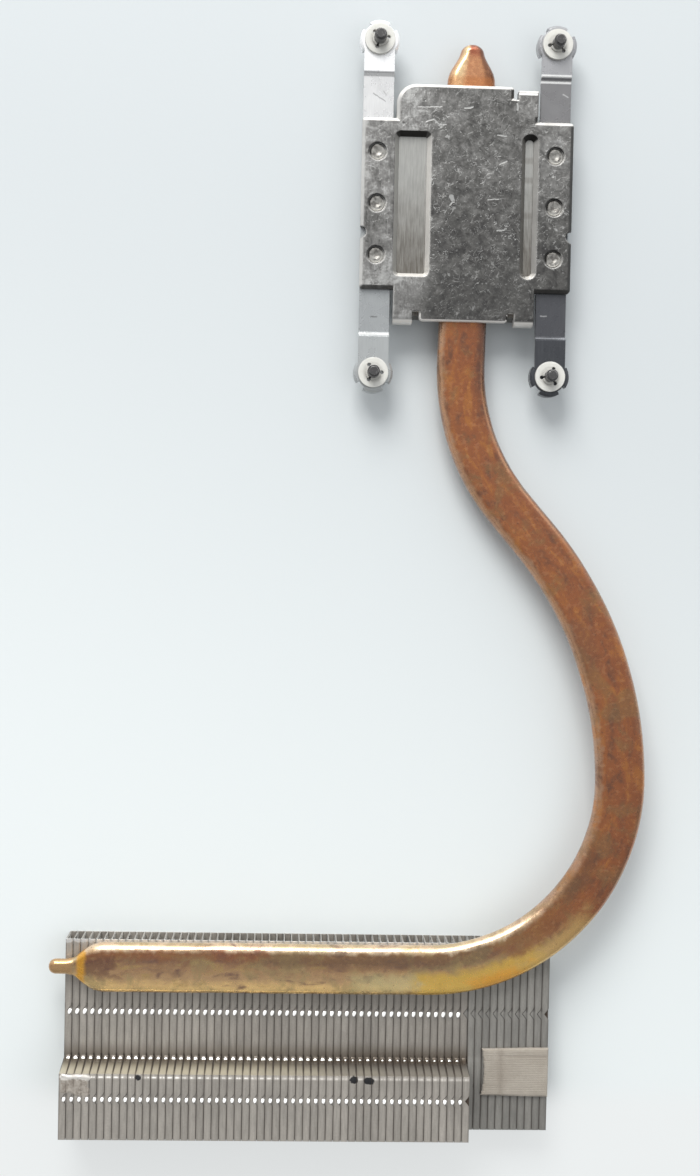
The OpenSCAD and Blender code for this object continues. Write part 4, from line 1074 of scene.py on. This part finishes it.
def pad_material():
    g = Graph("pad_fabric")
    turn = 2*math.pi/PAD_THREAD
    warp = g.math("SINE", g.times(g.x, turn))
    weft = g.math("SINE", g.times(g.y, turn))
    weave = g.plus(g.times(g.times(warp, weft), 0.5), g.times(weft, 0.35))
    stripes = g.noise(1.0, 4.0, 0.65, 0.0, g.stretched(0.22, 5.5, 1.0))
    fuzz = g.noise(3.4, 3.0, 0.6)
    cloud = g.noise(0.3, 3.0, 0.5)
    colour = g.mix(g.span(weave, -1.0, 1.0), tone(142, 134, 123), tone(164, 156, 145))
    colour = g.mix(g.span(stripes, 0.35, 0.65, 0.0, 0.45), colour, tone(170, 162, 150))
    colour = g.mix(g.span(stripes, 0.42, 0.3, 0.0, 0.35), colour, tone(126, 118, 107))
    colour = g.mix(g.span(fuzz, 0.4, 0.7, 0.0, 0.3), colour, tone(184, 176, 164))
    colour = g.mix(g.span(cloud, 0.4, 0.65, 0.0, 0.3), colour, tone(142, 133, 121))
    low, high = box_mm("foam_pad")
    # Painted shade in a crease along the pad and in a thin one across it
    crease_shade = g.stroke(low.x + 3.2, low.y + 0.6, low.x + 3.2, high.y - 0.6, 0.9, 0.7)
    crease_shade = g.math("MAXIMUM", crease_shade, g.stroke(low.x + 3.2, low.y + 6.7, high.x, low.y + 6.7, 0.15, 0.2))
    colour = g.mix(g.times(crease_shade, 0.4), colour, tone(118, 108, 97))
    return g.surface(colour, 0.0, 0.92, g.bump(g.plus(weave, g.times(fuzz, 1.5)), 0.03, 0.5), sheen_weight=0.15)


# Glue film


def make_smear():
    """Film of dried glue that covers the first fins beside the step, with a wavy crest and ragged edges."""
    dice = random.Random(2)
    nx, ny = 44, 40
    x0, x1, y0, y1 = -46.2, -41.5, -84.3, -80.95
    points, faces = [], []
    for i in range(nx + 1):
        for j in range(ny + 1):
            u, v = i/nx, j/ny
            around = 0.22*math.sin(8*v + 1.0) + 0.09*math.sin(23*v + 2.0)
            below = 0.3*math.sin(6*u + 0.4) + 0.12*math.sin(19*u + 1.3)
            x = mix(x0 + 0.04, x1 + around, u)
            y = mix(y0 + below, y1 + 0.06*math.sin(17*u), v)
            edge = min(u, 1 - u, v, 1 - v)
            lift = 0.11*min(1.0, edge/0.14)**0.6
            crest = 0.88 + 0.03*math.sin(11*u + 0.7)
            ridge = 0.11*math.exp(-((v - crest)/0.07)**2)*min(1.0, edge/0.06)
            folds = 0.02*math.sin(5*u + 9*v)*min(1.0, edge/0.2)
            points.append((x, y, TALL_Z - 0.03 + min(0.19, lift + ridge + folds + dice.uniform(0, 0.008))))
    row = ny + 1
    for i in range(nx):
        for j in range(ny):
            a = i*row + j
            faces.append((a, a + row, a + row + 1, a + 1))
    return make_mesh("glue_smear", points, faces)


def smear_material():
    g = Graph("glue_film")
    cloud = g.noise(0.9, 4.0, 0.6, 0.4)
    fine = g.noise(3.0, 3.0, 0.6)
    seams = g.math("FRACT", g.math("DIVIDE", g.minus(g.x, STACK_LEFT), FIN_PITCH))
    ghost = g.times(g.window(seams, 0.84, 0.99, 0.07), g.span(cloud, 0.36, 0.56, 1.0, 0.35))
    colour = g.mix(g.span(cloud, 0.35, 0.65), tone(138, 129, 119), tone(172, 164, 154))
    colour = g.mix(g.span(fine, 0.45, 0.7, 0.0, 0.35), colour, tone(196, 190, 180))
    colour = g.mix(g.times(ghost, 0.5), colour, tone(86, 76, 68))
    # A pale band along the film's crest, a painted highlight
    wave = g.times(g.minus(cloud, 0.5), 1.2)
    top = g.window(g.plus(g.y, wave), -81.75, -81.0, 0.16)
    colour = g.mix(g.times(top, 0.75), colour, tone(232, 228, 221))
    return g.surface(colour, 0.2, 0.32, g.bump(g.plus(cloud, g.times(fine, 0.3)), 0.08, 0.6))


# Every node its material, then the pieces that replace nodes or are added to them

fin_metal = fin_material("fin_aluminium", tone(167, 161, 153))
dress(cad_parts["tall_fins"], fin_metal)
dress(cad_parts["short_fins"], fin_material("fin_aluminium_short", tone(156, 153, 147)))
dress(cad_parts["base_plate"], plate_material())
dress(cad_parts["pipe_saddle"], saddle_material())
spring_steel = spring_material()
rivet_metal = rivet_material()
screw_black = screw_material()
washer_nylon = washer_material()
for node_name, node_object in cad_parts.items():
    for start, material in (("rivet", rivet_metal), ("screw", screw_black), ("washer", washer_nylon)):
        if node_name.startswith(start):
            dress(node_object, material)
    if node_name.endswith("spring"):
        dress(node_object, spring_steel)

settle(make_pipe(), "pipe_copper", copper_material(), "heat_pipe")
pad = make_pad()
settle(pad, "pad_fabric", pad_material(), "foam_pad")
settle(make_glints(), "fin_aluminium", glint_material())
settle(make_relief_tabs(), "fin_aluminium", fin_metal)
settle(make_seam_dust(), "fin_aluminium", dust_material())
settle(make_smear(), "fin_aluminium", smear_material())
